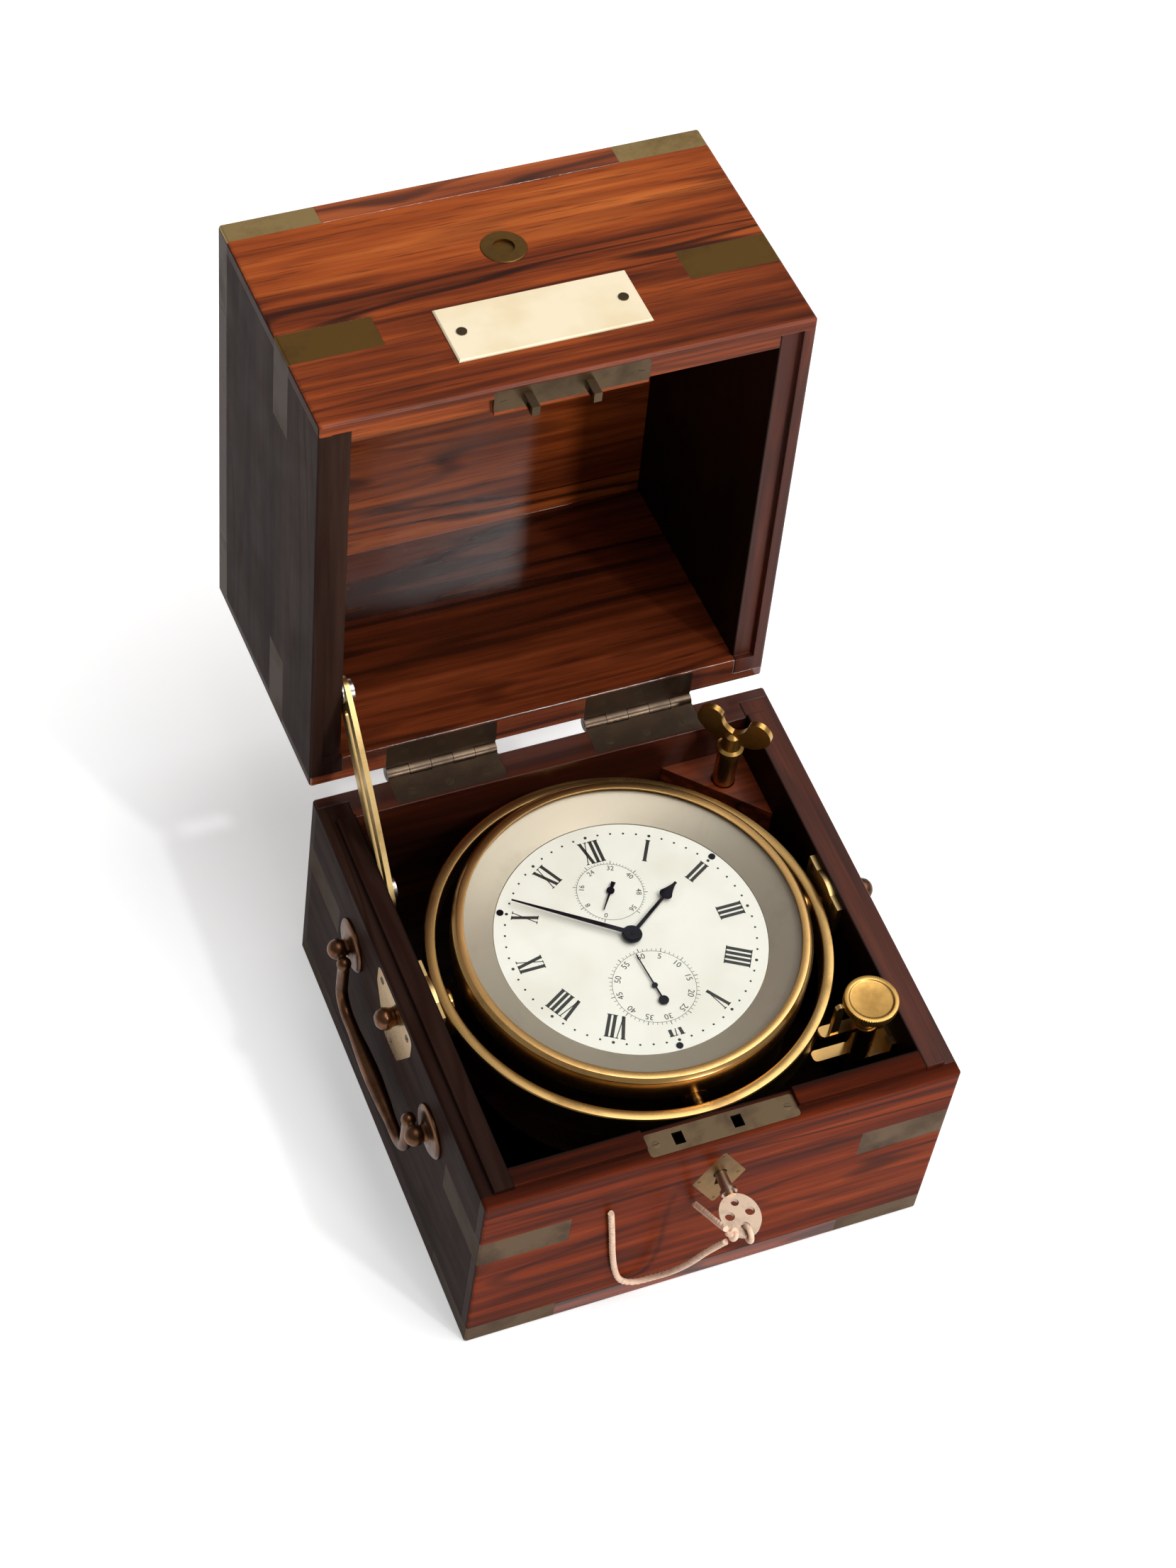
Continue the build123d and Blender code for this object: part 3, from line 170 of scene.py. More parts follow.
def aimed(points, start, direction, up=(0, 0, 1)):
    """Points drawn about Z moved to start, with Z along direction and Y as near to up as that allows."""
    w = np.array(direction, float)
    w /= np.linalg.norm(w)
    u = np.cross(up, w)
    if np.linalg.norm(u) < 1e-6:
        u = np.cross((0, 1, 0), w)
    u /= np.linalg.norm(u)
    return np.array(start, float) + points @ np.stack([u, np.cross(w, u), w])


def stub(radius, long, start, out, edge):
    """A short round boss with its edges broken, standing on a point and facing out."""
    profile = rounded([(0, 0), (radius, 0), (radius, long), (0, long)], edge, False)
    return aimed(lathe(profile, 48), start, out)


def slab(outline, low, high):
    """A flat piece between two heights. Its outline is seen whole from the middle, where both faces close."""
    edge = np.array(outline, float)
    middle = np.repeat(edge.mean(0, keepdims=True), len(edge), 0)
    rows = [(middle, low), (edge, low), (edge, high), (middle, high)]
    return np.stack([np.column_stack([flat, np.full(len(edge), level)]) for flat, level in rows])


def bar(x, y, z):
    """A plain bar between three pairs of limits."""
    corners = [(x[0], y[0]), (x[1], y[0]), (x[1], y[1]), (x[0], y[1])]
    return slab(corners, z[0], z[1])


print("a lathe grid", lathe([(0, 0), (1, 0), (1, 1), (0, 1)]).shape)

# %% [markdown]
# ## Materials
# Each material is named for its real finish. Colours are written as sRGB hex values, as a colour picker gives
# them, and one function turns them into the linear light that shaders use. A few more small functions each add
# one kind of shader node, fed by numbers or by the outputs of other nodes.

# %% Colour and node helpers
IOR = 1.5  # of polish, glass, wax, bone and cotton alike


def linear(code):
    """An sRGB hex value as linear red, green, blue and alpha."""
    srgb = np.array([int(code[i:i + 2], 16) for i in (1, 3, 5)]) / 255
    light = np.where(srgb <= 0.04045, srgb / 12.92, ((srgb + 0.055) / 1.055) ** 2.4)
    return (*light.tolist(), 1.0)


def grey(value):
    """A linear grey and its alpha."""
    return (value, value, value, 1.0)


def add(tree, kind, inputs=None, stops=None, **settings):
    """One shader node: settings are its own properties, inputs are values or the outputs of other nodes."""
    made = tree.nodes.new("ShaderNode" + kind)
    for key, value in settings.items():
        setattr(made, key, value)
    for key, source in (inputs or {}).items():
        if isinstance(source, bpy.types.NodeSocket):
            tree.links.new(source, made.inputs[key])
        else:
            made.inputs[key].default_value = source
    if stops:
        ramp = made.color_ramp.elements
        while len(ramp) < len(stops):
            ramp.new(0.5)
        for element, (place, colour) in zip(ramp, stops):
            element.position = place
            element.color = colour
    return made


def maths(tree, operation, *inputs):
    """The result of one sum, product or comparison."""
    return add(tree, "Math", dict(enumerate(inputs)), operation=operation).outputs[0]


def span(tree, source, to_low, to_high, from_low=0.0, from_high=1.0):
    """A value carried from one range to another, and held at its ends."""
    return add(tree, "MapRange", {0: source, 1: from_low, 2: from_high, 3: to_low, 4: to_high}).outputs[0]


def noise(tree, vector, scale, detail, distortion=0.0, roughness=0.5):
    """Soft random patches between 0 and 1, so many to the metre."""
    return add(tree, "TexNoise", {"Vector": vector, "Scale": scale, "Detail": detail, "Roughness": roughness,
                                  "Distortion": distortion}).outputs[0]


def ramp_of(tree, source, *stops):
    """A value turned into a colour by stops of (place, colour)."""
    return add(tree, "ValToRGB", {0: source}, stops).outputs[0]


def mixed(tree, amount, first, second):
    """A colour between two others."""
    return add(tree, "Mix", {0: amount, 6: first, 7: second}, data_type="RGBA").outputs[2]


def between(tree, amount, first, second):
    """A number between two others."""
    return add(tree, "Mix", {0: amount, 2: first, 3: second}).outputs[0]


def finish(name, build):
    """A new material: build gets its empty tree and returns the shader for the surface."""
    made = bpy.data.materials.new(name)
    made.use_nodes = True
    tree = made.node_tree
    tree.nodes.clear()
    shader = build(tree)
    add(tree, "OutputMaterial", {"Surface": shader.outputs[0]})
    return made


def count_of(word):
    """How many materials have a word in their names."""
    return sum(word in made.name for made in bpy.data.materials)


print("mid grey #808080 as linear light", [round(v, 3) for v in linear("#808080")])

# %% [markdown]
# ## Rosewood
# Brazilian rosewood is orange brown with long, dark, slightly wavy lines some 3 to 15 mm apart, and fine open
# pores a fifth of a millimetre wide. The polish is old shellac: glossy, but worn thin. We squeeze Object
# coordinates along the grain, so that every noise is drawn out many times that way, and draw the dark lines
# as the contour lines of a stretched noise, as growth rings cut at a flat angle really are. The inner faces of
# the boards get painted shade, almost black and with little gloss, so a board can be told on which side of it the
# inside lies. In the photograph the left faces of the box are dim and show no gloss, so painted shade makes the
# wood darker and duller there. The boards on the right get darker tones as painted shade too.

# %% Rosewood
LIT = ["#3d180b", "#6a2c12", "#8d4019", "#ad5b28"]
# The second and third tone sets are painted shade: darker tones for the boards on the box's left and right.
LEFT_SHADE_TONES = ["#1a0f0c", "#271813", "#30201a", "#3a2820"]
RIGHT_SHADE_TONES = ["#28100a", "#451b0e", "#5a2613", "#6f351c"]
TONE_STOPS = (0.34, 0.45, 0.55, 0.68)
LOG_STRETCH, FIBRE_STRETCH = 11.0, 30.0
TONE, FIBRE, GROWTH, GROUPS, PORES, WEAR = 34.0, 260.0, 21.0, 30.0, 1500.0, 60.0  # patches to the metre
RINGS = 82.0  # radians of growth from one end of the noise to the other
# Of these colours, the inner faces' near black and the left faces' brown are painted shade.
LINE, PORE, INSIDE_SHADE, RIM_DARK, SHADED = "#1d0c08", "#2a120a", "#080503", "#1f0e08", "#2a1b15"
INSIDE_SHADE_FROM, INSIDE_SHADE_TO = 0.0009, 0.0003  # metres under the inner face: where the painted shade starts, and where it is full
RIM_FROM, RIM_TO = 0.0007, 0.0001  # metres below the rim, in the same way
LEFT_WOOD = -0.0917  # metres: left of this lie the left faces, which get painted shade
LEFT_SHADE = 0.9


def rosewood(name, grain, turn=0.0, shift=(0.0, 0.0, 0.0), tones=LIT, gloss=0.3, shine=0.3, inside=None,
             rim=None):
    """Rosewood for one board: grain is the axis it runs along with the box shut, turn undoes the lid's opening,
    and shift picks another part of the log. Tones run from dark to light, gloss is the polish's roughness and
    shine its strength. Inside is (axis, level, sign): where the inner face with painted shade lies, and which
    way the wood goes from there. Rim is the height of an edge along which the wood is darker. On the box's
    left faces the wood gets painted shade."""
    def build(tree):
        place = add(tree, "TexCoord").outputs["Object"]
        where = add(tree, "SeparateXYZ", {0: place}).outputs

        def stretched(times):
            squeeze = [times if axis == grain else 1.0 for axis in "XYZ"]
            return add(tree, "Mapping", {"Vector": place, "Location": shift, "Rotation": (turn, 0, 0),
                                         "Scale": squeeze}, vector_type="TEXTURE").outputs[0]

        log, long = stretched(LOG_STRETCH), stretched(FIBRE_STRETCH)
        fibre = maths(tree, "MULTIPLY", noise(tree, long, FIBRE, 4.0), 0.4)
        figure = maths(tree, "MULTIPLY_ADD", noise(tree, log, TONE, 3.0, 0.4), 0.6, fibre)
        wood = ramp_of(tree, figure, *zip(TONE_STOPS, [linear(code) for code in tones]))
        ring = maths(tree, "SINE", maths(tree, "MULTIPLY", noise(tree, log, GROWTH, 3.0, 0.3), RINGS))
        line = ramp_of(tree, ring, (0.35, grey(0)), (0.99, grey(1)))
        group = ramp_of(tree, noise(tree, long, GROUPS, 1.5), (0.40, grey(0.12)), (0.58, grey(0.85)))
        wood = mixed(tree, maths(tree, "MULTIPLY", line, group), wood, linear(LINE))
        pores = noise(tree, long, PORES, 2.0)
        wood = mixed(tree, ramp_of(tree, pores, (0.55, grey(0)), (0.70, grey(0.5))), wood, linear(PORE))
        rough = span(tree, noise(tree, place, WEAR, 3.0), gloss - 0.07, gloss + 0.1)
        shiny = shine
        # Painted shade: the inner faces turn almost black and lose most of their gloss.
        if inside:
            axis, edge, sign = inside
            inside_shade = span(tree, where[axis], 0.0, 0.95, edge + sign * INSIDE_SHADE_FROM, edge + sign * INSIDE_SHADE_TO)
            wood = mixed(tree, inside_shade, wood, linear(INSIDE_SHADE))
            shiny = between(tree, inside_shade, shiny, 0.06)
        # Painted shade: the box's left faces get a darker colour and almost no gloss.
        left = maths(tree, "LESS_THAN", where[0], LEFT_WOOD)
        shade = maths(tree, "MULTIPLY", left, 0.0 if tones is LEFT_SHADE_TONES else LEFT_SHADE)
        wood = mixed(tree, shade, wood, linear(SHADED))
        shiny = between(tree, left, shiny, 0.01)
        # Darker along the rim.
        if rim:
            rim_darker = span(tree, where[2], 0.0, 0.42, rim - RIM_FROM, rim - RIM_TO)
            wood = mixed(tree, rim_darker, wood, linear(RIM_DARK))
        soft = add(tree, "Bevel", {"Radius": 0.0006}, samples=4).outputs[0]
        dents = add(tree, "Bump", {"Strength": 0.12, "Distance": 0.00008, "Height": pores, "Normal": soft})
        return add(tree, "BsdfPrincipled", {"Base Color": wood, "Roughness": rough, "Specular IOR Level": shiny,
                                            "IOR": IOR, "Normal": dents.outputs[0]})
    return finish(name, build)


# %% Boards of the box
SHUT = math.radians(-LID_OPEN)
IN = INSIDE * MM
base_front_wood = rosewood("rosewood_base_front", "X", shift=(0.11, 0.0, 0.03), gloss=0.3, shine=0.02,
                           tones=["#220b06", "#561d08", "#742b0c", "#934018"], inside=(1, -IN, -1), rim=RIM * MM)
base_left_wood = rosewood("rosewood_base_left", "Y", shift=(0.0, 0.4, 0.07), gloss=0.42, shine=0.03,
                          tones=LEFT_SHADE_TONES, inside=(0, -IN, -1), rim=RIM * MM)
base_bottom_wood = rosewood("rosewood_base_bottom", "X", shift=(0.2, 0.3, 0.0), gloss=0.35,
                            tones=["#34150b", "#5c2613", "#7a3419", "#904522"], inside=(2, 0.010, -1))
# The right-hand boards take darker tones as painted shade.
base_right_wood = rosewood("rosewood_base_right", "Y", shift=(0.05, 0.1, 0.17), gloss=0.38, shine=0.2,
                           tones=RIGHT_SHADE_TONES, inside=(0, IN, 1), rim=RIM * MM)
# The back board's darker tones are painted shade of the base's inside.
base_back_wood = rosewood("rosewood_base_back", "X", shift=(0.3, 0.1, 0.12), gloss=0.3,
                          tones=["#1e0c07", "#35160c", "#471e10", "#5a2a18"])
lid_front_wood = rosewood("rosewood_lid_front", "X", SHUT, (0.02, 0.3, 0.05), gloss=0.3, shine=0.16,
                          tones=["#3d180b", "#6e2e12", "#94441a", "#b5602a"])
lid_side_wood = rosewood("rosewood_lid_sides", "Y", SHUT, (0.0, 0.2, 0.09), gloss=0.42, shine=0.03, tones=LEFT_SHADE_TONES)
lid_right_wood = rosewood("rosewood_lid_right", "Y", SHUT, (0.0, 0.2, 0.19), gloss=0.4, shine=0.2,
                          tones=RIGHT_SHADE_TONES, inside=(0, IN, 1))
lid_top_wood = rosewood("rosewood_lid_top", "X", SHUT, (0.2, 0.05, 0.02), gloss=0.12, shine=0.6,
                        tones=["#3a170b", "#703012", "#91441b", "#ad5a2a"])
lid_back_wood = rosewood("rosewood_lid_back", "X", SHUT, (0.35, 0.2, 0.1), gloss=0.12, shine=0.6,
                         tones=["#2f130a", "#52220f", "#6f3218", "#894424"])
block_wood = rosewood("rosewood_key_block", "X", shift=(0.0, 0.1, 0.0), gloss=0.35)
print("rosewoods", count_of("rosewood"))

# %% [markdown]
# ## Brass, steel and silvering
# Old brass that is handled stays bright, and brass that is left alone goes dull and brown. So one recipe makes
# all the brasses: a metal colour, a darker tarnish in soft patches a few millimetres wide, and a roughness that
# follows the tarnish. Metals keep the default IOR.

# %% Metals
GRIT_MM = 0.6
LEFT_METAL = -0.09185  # metres: the straps' left faces lie further left and get painted shade


def metal(name, bright, tarnish, patch_mm, amount, rough, rough_dull, grit=0.0, left=None, solid=1.0):
    """A metal that turns from bright to tarnish in patches of a given width, rougher where it is dull. Left is
    the colour of its parts on the box's left faces, painted shade that is not metallic, and solid is how metallic
    it is."""
    def build(tree):
        place = add(tree, "TexCoord").outputs["Object"]
        patches = noise(tree, place, 1000.0 / patch_mm, 5.0, roughness=0.62)
        dull = ramp_of(tree, patches, (0.62 - amount * 0.4, grey(0)), (0.80 - amount * 0.2, grey(1)))
        colour = mixed(tree, dull, linear(bright), linear(tarnish))
        inputs = {"Roughness": span(tree, dull, rough, rough_dull), "Metallic": solid}
        # Painted shade: on the box's left faces the metal turns dark brown, not metallic and with little shine.
        if left:
            far = maths(tree, "LESS_THAN", add(tree, "SeparateXYZ", {0: place}).outputs[0], LEFT_METAL)
            colour = mixed(tree, far, colour, linear(left))
            inputs.update({"Metallic": span(tree, far, solid, 0.0), "Specular IOR Level": 0.03})
        if grit:
            fine = noise(tree, place, 1000.0 / GRIT_MM, 2.0)
            bump = add(tree, "Bump", {"Strength": grit, "Distance": 0.0001, "Height": fine})
            inputs["Normal"] = bump.outputs[0]
        return add(tree, "BsdfPrincipled", {"Base Color": colour, **inputs})
    return finish(name, build)


# Painted shade for brass on the box's left faces.
LEFT_SHADE_BROWN = "#3d2d1f"
strap_brass = metal("aged_strap_brass", "#795a2d", "#553e22", 22.0, 0.4, 0.42, 0.55, 0.1, LEFT_SHADE_BROWN)
worn_brass = metal("dark_base_strap_brass", "#574025", "#3d2b1a", 22.0, 0.45, 0.45, 0.58, 0.1, LEFT_SHADE_BROWN)
edge_brass = metal("rubbed_edge_strap_brass", "#c3a670", "#8a7046", 22.0, 0.35, 0.36, 0.5, 0.1, LEFT_SHADE_BROWN)
dull_brass = metal("dull_hinge_brass", "#5a4c3f", "#41372e", 18.0, 0.45, 0.36, 0.5, 0.1)
dark_brass = metal("dark_lock_brass", "#5d4d3a", "#42362a", 16.0, 0.45, 0.4, 0.55, 0.1)
bronzed_brass = metal("bronzed_handle_brass", "#664631", "#42291d", 12.0, 0.5, 0.3, 0.48, 0.06)
gimbal_brass = metal("lacquered_gimbal_brass", "#b8945c", "#806238", 30.0, 0.3, 0.24, 0.36, 0.03)
bowl_brass = metal("lacquered_bowl_brass", "#c89e63", "#8f6c3e", 30.0, 0.3, 0.22, 0.34, 0.03)
gold_brass = metal("pale_handled_brass", "#bd9452", "#94713c", 16.0, 0.3, 0.3, 0.42, 0.05)
key_brass = metal("pale_worn_key_brass", "#b09a86", "#8f7a68", 6.0, 0.3, 0.3, 0.42, 0.06)
silvering = metal("silvered_brass_slope", "#ada08f", "#998c7c", 40.0, 0.25, 0.38, 0.46, solid=0.5)
steel = metal("bright_worn_steel", "#b8b4ad", "#6e675f", 4.0, 0.4, 0.3, 0.5, 0.1)
blued_steel = metal("dark_blued_steel", "#1f1e28", "#141218", 5.0, 0.4, 0.3, 0.42)
print("brasses", count_of("brass"), "and steels", count_of("steel"))

# %% [markdown]
# ## Dial, glass, plate and cord
# The dial is frosted silver, which scatters light almost like paper, so it is a diffuse white. Its figures are
# engraved and filled with black wax. The glass is a thin flat disc: a mix of clear and mirror by Fresnel does
# the same as solid glass without hiding the dial in noise.

# %% Other finishes


def plain(name, code, rough, spots=None, spot_mm=10.0):
    """A finish of one colour, or of two in soft patches."""
    def build(tree):
        colour = linear(code)
        if spots:
            patch = noise(tree, add(tree, "TexCoord").outputs["Object"], 1000.0 / spot_mm, 4.0)
            colour = mixed(tree, ramp_of(tree, patch, (0.45, grey(0)), (0.72, grey(1))), colour, linear(spots))
        return add(tree, "BsdfPrincipled", {"Base Color": colour, "Roughness": rough, "IOR": IOR})
    return finish(name, build)


def clear_glass(tree):
    """Clear where we look through it, a mirror by Fresnel where it catches the light. Seen from inside the glass
    there is no mirror, because our straight rays would meet total reflection that bent rays do not."""
    outside = maths(tree, "SUBTRACT", 1.0, add(tree, "NewGeometry").outputs["Backfacing"])
    catch = maths(tree, "MULTIPLY", add(tree, "Fresnel", {"IOR": IOR}).outputs[0], outside)
    clear = add(tree, "BsdfTransparent", {"Color": linear("#fcfdfc")}).outputs[0]
    mirror = add(tree, "BsdfGlossy", {"Roughness": 0.02, "Color": grey(1)}).outputs[0]
    return add(tree, "MixShader", {0: catch, 1: clear, 2: mirror})


dial_silver = plain("frosted_silver_dial", "#f3efe6", 0.5, "#e9e3d7", 30.0)
black_wax = plain("black_wax_figures", "#1d1c1b", 0.45)
ivory = plain("polished_bone_plate", "#e9dabb", 0.38, "#dfcba4", 24.0)
cotton = plain("twisted_cotton_cord", "#e2c2a8", 0.85, "#d0a58c", 2.0)
# The dark colour of the screw slots is painted shade.
slot_shade = plain("dirt_in_slots", "#120e0a", 0.8)
glass_clear = finish("thin_crystal_glass", clear_glass)
print("other finishes", [made.name for made in (dial_silver, black_wax, ivory, cotton, slot_shade, glass_clear)])

# %% [markdown]
# ## Give the CAD nodes their finishes
# The boards, straps, plates and hands keep their CAD shapes. Each only gets its material, on its own mesh.

# %% Dress the CAD nodes
DRESSED = {
    base_front_wood: ["base_front"], base_left_wood: ["base_left"], base_right_wood: ["base_right"],
    base_back_wood: ["base_back"], base_bottom_wood: ["base_bottom"], block_wood: ["key_block"],
    lid_front_wood: ["lid_front"], lid_side_wood: ["lid_left"], lid_right_wood: ["lid_right"],
    lid_top_wood: ["lid_top"], lid_back_wood: ["lid_back"],
    worn_brass: ["base_straps_middle", "base_straps_foot"],
    strap_brass: ["lid_straps_middle", "escutcheon", "roundel_centre", "roundel_ring"],
    edge_brass: ["lid_straps_top", "stay_bar", "gimbal_inner_plates"],
    dull_brass: ["hinge_leaves_base", "hinge_leaves_lid", "hinge_pins"],
    dark_brass: ["lock_case", "link_plate", "lock_bolt", "name_plate_screws"],
    bronzed_brass: ["handle_lugs", "bail_left", "bail_right", "gimbal_side_screws"],
    gimbal_brass: ["gimbal_outer_plates", "gimbal_ring", "gimbal_end_screws", "lock_bracket", "lock_arm"],
    gold_brass: ["thumb_screw", "winding_key"],
    bowl_brass: ["bowl", "bezel", "pillar_plate", "top_plate"],
    silvering: ["dial_surround"], dial_silver: ["dial"],
    blued_steel: ["hour_hand", "minute_hand", "seconds_hand", "reserve_hand", "dial_screws"],
    steel: ["stay_stud", "stay_screw"],
    key_brass: ["box_key"], ivory: ["name_plate"], cotton: ["cord_knot"], glass_clear: ["glass"],
}
for material, names in DRESSED.items():
    for name in names:
        nodes[name].data.materials.clear()
        nodes[name].data.materials.append(material)
print("dressed", sum(len(names) for names in DRESSED.values()), "nodes")

# %% [markdown]
# ## The clock's round pieces
# A lathe leaves true circles, and the eye sees any flat in a polished ring. So the ring, the bowl, the bezel and
# the silvered slope are turned again here with 240 points round, and every corner is broken by a few tenths of
# a millimetre, because a knife-sharp edge never catches the light.

# %% Gimbal ring
ROUND = 240
BOSS_R = 5.0
RING_IN, RING_OUT, RING_LOW, RING_HIGH = 71.5, 76.0, 78.0, 91.0
ring_profile = rounded([(RING_IN, RING_LOW), (RING_OUT, RING_LOW), (RING_OUT, RING_HIGH),
                        (RING_IN, RING_HIGH)], 1.1)
knitted("gimbal_ring_turned", [lathe(ring_profile, ROUND)], gimbal_brass, "gimbal",
        ["gimbal_ring"], loop=True)
bosses = [stub(BOSS_R, 3.0, (side * 73.0, 0, GIMBAL_Z), (-side, 0, 0), 0.4) for side in SIDES]
knitted("gimbal_ring_bosses", bosses, gimbal_brass, "gimbal")

# %% Bowl, bezel and silvered slope
BOWL_R, BOWL_FLOOR, BOWL_BEND = 63.5, 27.5, 18.0
bend = np.linspace(0, np.pi / 2, 12)[::-1]
bowl_turn = np.column_stack([BOWL_R - BOWL_BEND * (1 - np.cos(bend)),
                             BOWL_FLOOR + BOWL_BEND * (1 - np.sin(bend))])
bowl_wall = [(0, BOWL_FLOOR), *bowl_turn, (63.5, 91.7), (63.2, 92.0), (61.5, 92.0), (61.5, 46.0), (48.0, 29.5),
             (0, 29.5)]
pads = [stub(BOSS_R, 3.4, (0, side * 62.7, GIMBAL_Z), (0, side, 0), 0.3) for side in SIDES]
knitted("bowl_turned", [lathe(bowl_wall, ROUND)] + pads, bowl_brass, "bowl", ["bowl"])
bezel_profile = rounded([(63.6, 90.2), (66.6, 90.2), (66.6, 100.45), (65.2, 101.95), (62.3, 101.95),
                         (62.3, 101.25), (63.6, 101.25)], 0.3)
knitted("bezel_turned", [lathe(bezel_profile, ROUND)], bowl_brass, "bowl", ["bezel"], loop=True)
slope_profile = rounded([(51.0, 93.9), (61.4, 93.9), (61.4, 92.1), (63.3, 92.1), (63.3, 99.4), (62.9, 99.4),
                         (51.0, 94.9)], 0.15)
knitted("slope_turned", [lathe(slope_profile, ROUND)], silvering, "bowl", ["dial_surround"],
        loop=True)

# %% [markdown]
# ## Figures on the dial
# The hours are tall Roman numerals, feet to the centre, with four strokes for the four. Each letter is built
# from straight strokes: thick ones 1.3 mm wide, thin ones and serifs about a quarter of that. A stroke is a flat
# four-sided slab a few hundredths of a millimetre thick, like the wax that stands in the engraving.

# %% Numeral strokes
FIGURE_LOW, FIGURE_HIGH = 34.8, 44.7
THICK, THIN = 1.3, 0.36
NARROW, BROAD = 2.05, 3.95  # width that an I takes, and a V or an X
WAX = (DIAL_Z - 0.05, DIAL_Z + 0.04)


def stroke(foot, head, wide):
    """A slanting stroke of one width between the numeral's foot and head lines."""
    half = wide / 2
    return [(foot - half, FIGURE_LOW), (foot + half, FIGURE_LOW), (head + half, FIGURE_HIGH),
            (head - half, FIGURE_HIGH)]


def serif(middle, wide, top):
    """A thin flat serif at the head or the foot."""
    level = FIGURE_HIGH - THIN if top else FIGURE_LOW
    half = wide / 2
    return [(middle - half, level), (middle + half, level), (middle + half, level + THIN),
            (middle - half, level + THIN)]


def letter(kind, left):
    """Strokes of one letter and the width it takes."""
    if kind == "I":
        middle = left + 0.95
        return [stroke(middle, middle, THICK), serif(middle, 1.9, True), serif(middle, 1.9, False)], NARROW
    if kind == "V":
        return [stroke(left + 1.9, left + 0.75, THICK), stroke(left + 1.9, left + 3.15, THIN),
                serif(left + 0.75, 1.8, True), serif(left + 3.15, 1.2, True)], BROAD
    return [stroke(left + 3.0, left + 0.75, THICK), stroke(left + 0.7, left + 3.05, THIN),
            serif(left + 0.75, 1.7, True), serif(left + 3.05, 1.2, True), serif(left + 3.0, 1.7, False),
            serif(left + 0.7, 1.2, False)], BROAD


def numeral(text):
    """All strokes of a numeral, centred."""
    strokes, left = [], 0.0
    for kind in text:
        made, wide = letter(kind, left)
        strokes += [np.array(s) for s in made]
        left += wide
    return [s - (left / 2, 0) for s in strokes]


def turned_by(outline, clockwise, centre_y=0.0):
    """An outline drawn at the twelve, turned clockwise round a centre on the dial's middle line."""
    a = math.radians(clockwise)
    x, y = outline[:, 0], outline[:, 1]
    return np.column_stack([x * math.cos(a) + y * math.sin(a), centre_y + y * math.cos(a) - x * math.sin(a)])


# %% Hour numerals
HOURS = ["XII", "I", "II", "III", "IIII", "V", "VI", "VII", "VIII", "IX", "X", "XI"]
CUT = 41.6  # the six is cut short here, above the seconds dial
strokes = []
for hour, text in enumerate(HOURS):
    for outline in numeral(text):
        if text == "VI":
            if outline[:, 1].max() <= CUT:
                continue
            shift = (CUT - outline[:, 1]).clip(0) / (FIGURE_HIGH - FIGURE_LOW)
            lean = outline[::-1, 0] - outline[:, 0]
            outline = np.column_stack([outline[:, 0] + lean * shift, outline[:, 1].clip(CUT)])
        strokes.append(turned_by(outline, 30 * hour))
print("numeral strokes", len(strokes))

# %% Minute dots and the two small dials
MINUTE_R, HOUR_DOT, MINUTE_DOT = 46.6, 0.6, 0.42
RESERVE_HOURS, RESERVE_SWEEP = 56, 300
LINE_HALF = 0.07  # half the width of a small dial's circle


def dot(radius):
    """A minute dot at the twelve: its centre plus radius times (cos t, sin t)."""
    t = angles(16)
    return np.column_stack([radius * np.cos(t), MINUTE_R + radius * np.sin(t)])


def tick(inner, outer, wide):
    """A short straight mark at the twelve, between two radii."""
    half = wide / 2
    return np.array([(-half, inner), (half, inner), (half, outer), (-half, outer)])


def reserve_angle(hour):
    """Where an hour stands on the up and down dial, in degrees clockwise from its top."""
    return -RESERVE_SWEEP / 2 + RESERVE_SWEEP * hour / RESERVE_HOURS


marks = [turned_by(dot(MINUTE_DOT if minute % 5 else HOUR_DOT), 6 * minute) for minute in range(60)]
for second in range(60):
    outer, wide = (16.6, 0.16) if second % 5 else (17.1, 0.26)
    marks.append(turned_by(tick(SMALL_R + 0.1, outer, wide), 6 * second, SMALL_Y))
for hour in range(RESERVE_HOURS + 1):
    outer, wide = (13.3, 0.14) if hour % 8 else (14.0, 0.24)
    marks.append(turned_by(tick(RESERVE_R + 0.1, outer, wide), reserve_angle(hour), RESERVE_Y))
figures = [slab(s, *WAX) for s in strokes + marks]
knitted("dial_figures", figures, black_wax, "bowl")
bands = []
for r, y in ((SMALL_R, SMALL_Y), (RESERVE_R, RESERVE_Y)):
    inner, outer = r - LINE_HALF, r + LINE_HALF
    band = lathe([(inner, WAX[0]), (outer, WAX[0]), (outer, WAX[1]), (inner, WAX[1])], 96)
    bands.append(band + np.array([0, y, 0]))
knitted("dial_circles", bands, black_wax, "bowl", loop=True)

# %% Numbers of the two small dials
FIGURE_TO_SIZE = 0.7  # a figure's height in Blender's own font, as a part of its size


def small_number(text, high, radius, clockwise, centre_y):
    """A plain number from Blender's own font as a flat mesh, its middle at a radius, turned clockwise."""
    curve = bpy.data.curves.new("number", "FONT")
    curve.body = text
    curve.size = high / FIGURE_TO_SIZE
    curve.align_x = "CENTER"
    curve.align_y = "CENTER"
    curve.extrude = 0.02
    curve.resolution_u = 3
    holder = bpy.data.objects.new("number", curve)
    mesh = bpy.data.meshes.new_from_object(holder)
    a = math.radians(clockwise)
    turn = Matrix.Rotation(-a, 4, "Z")
    spot = Vector((radius * math.sin(a), centre_y + radius * math.cos(a), DIAL_Z + 0.02))
    mesh.transform(Matrix.Scale(MM, 4) @ Matrix.Translation(spot) @ turn)
    bpy.data.objects.remove(holder)
    return mesh


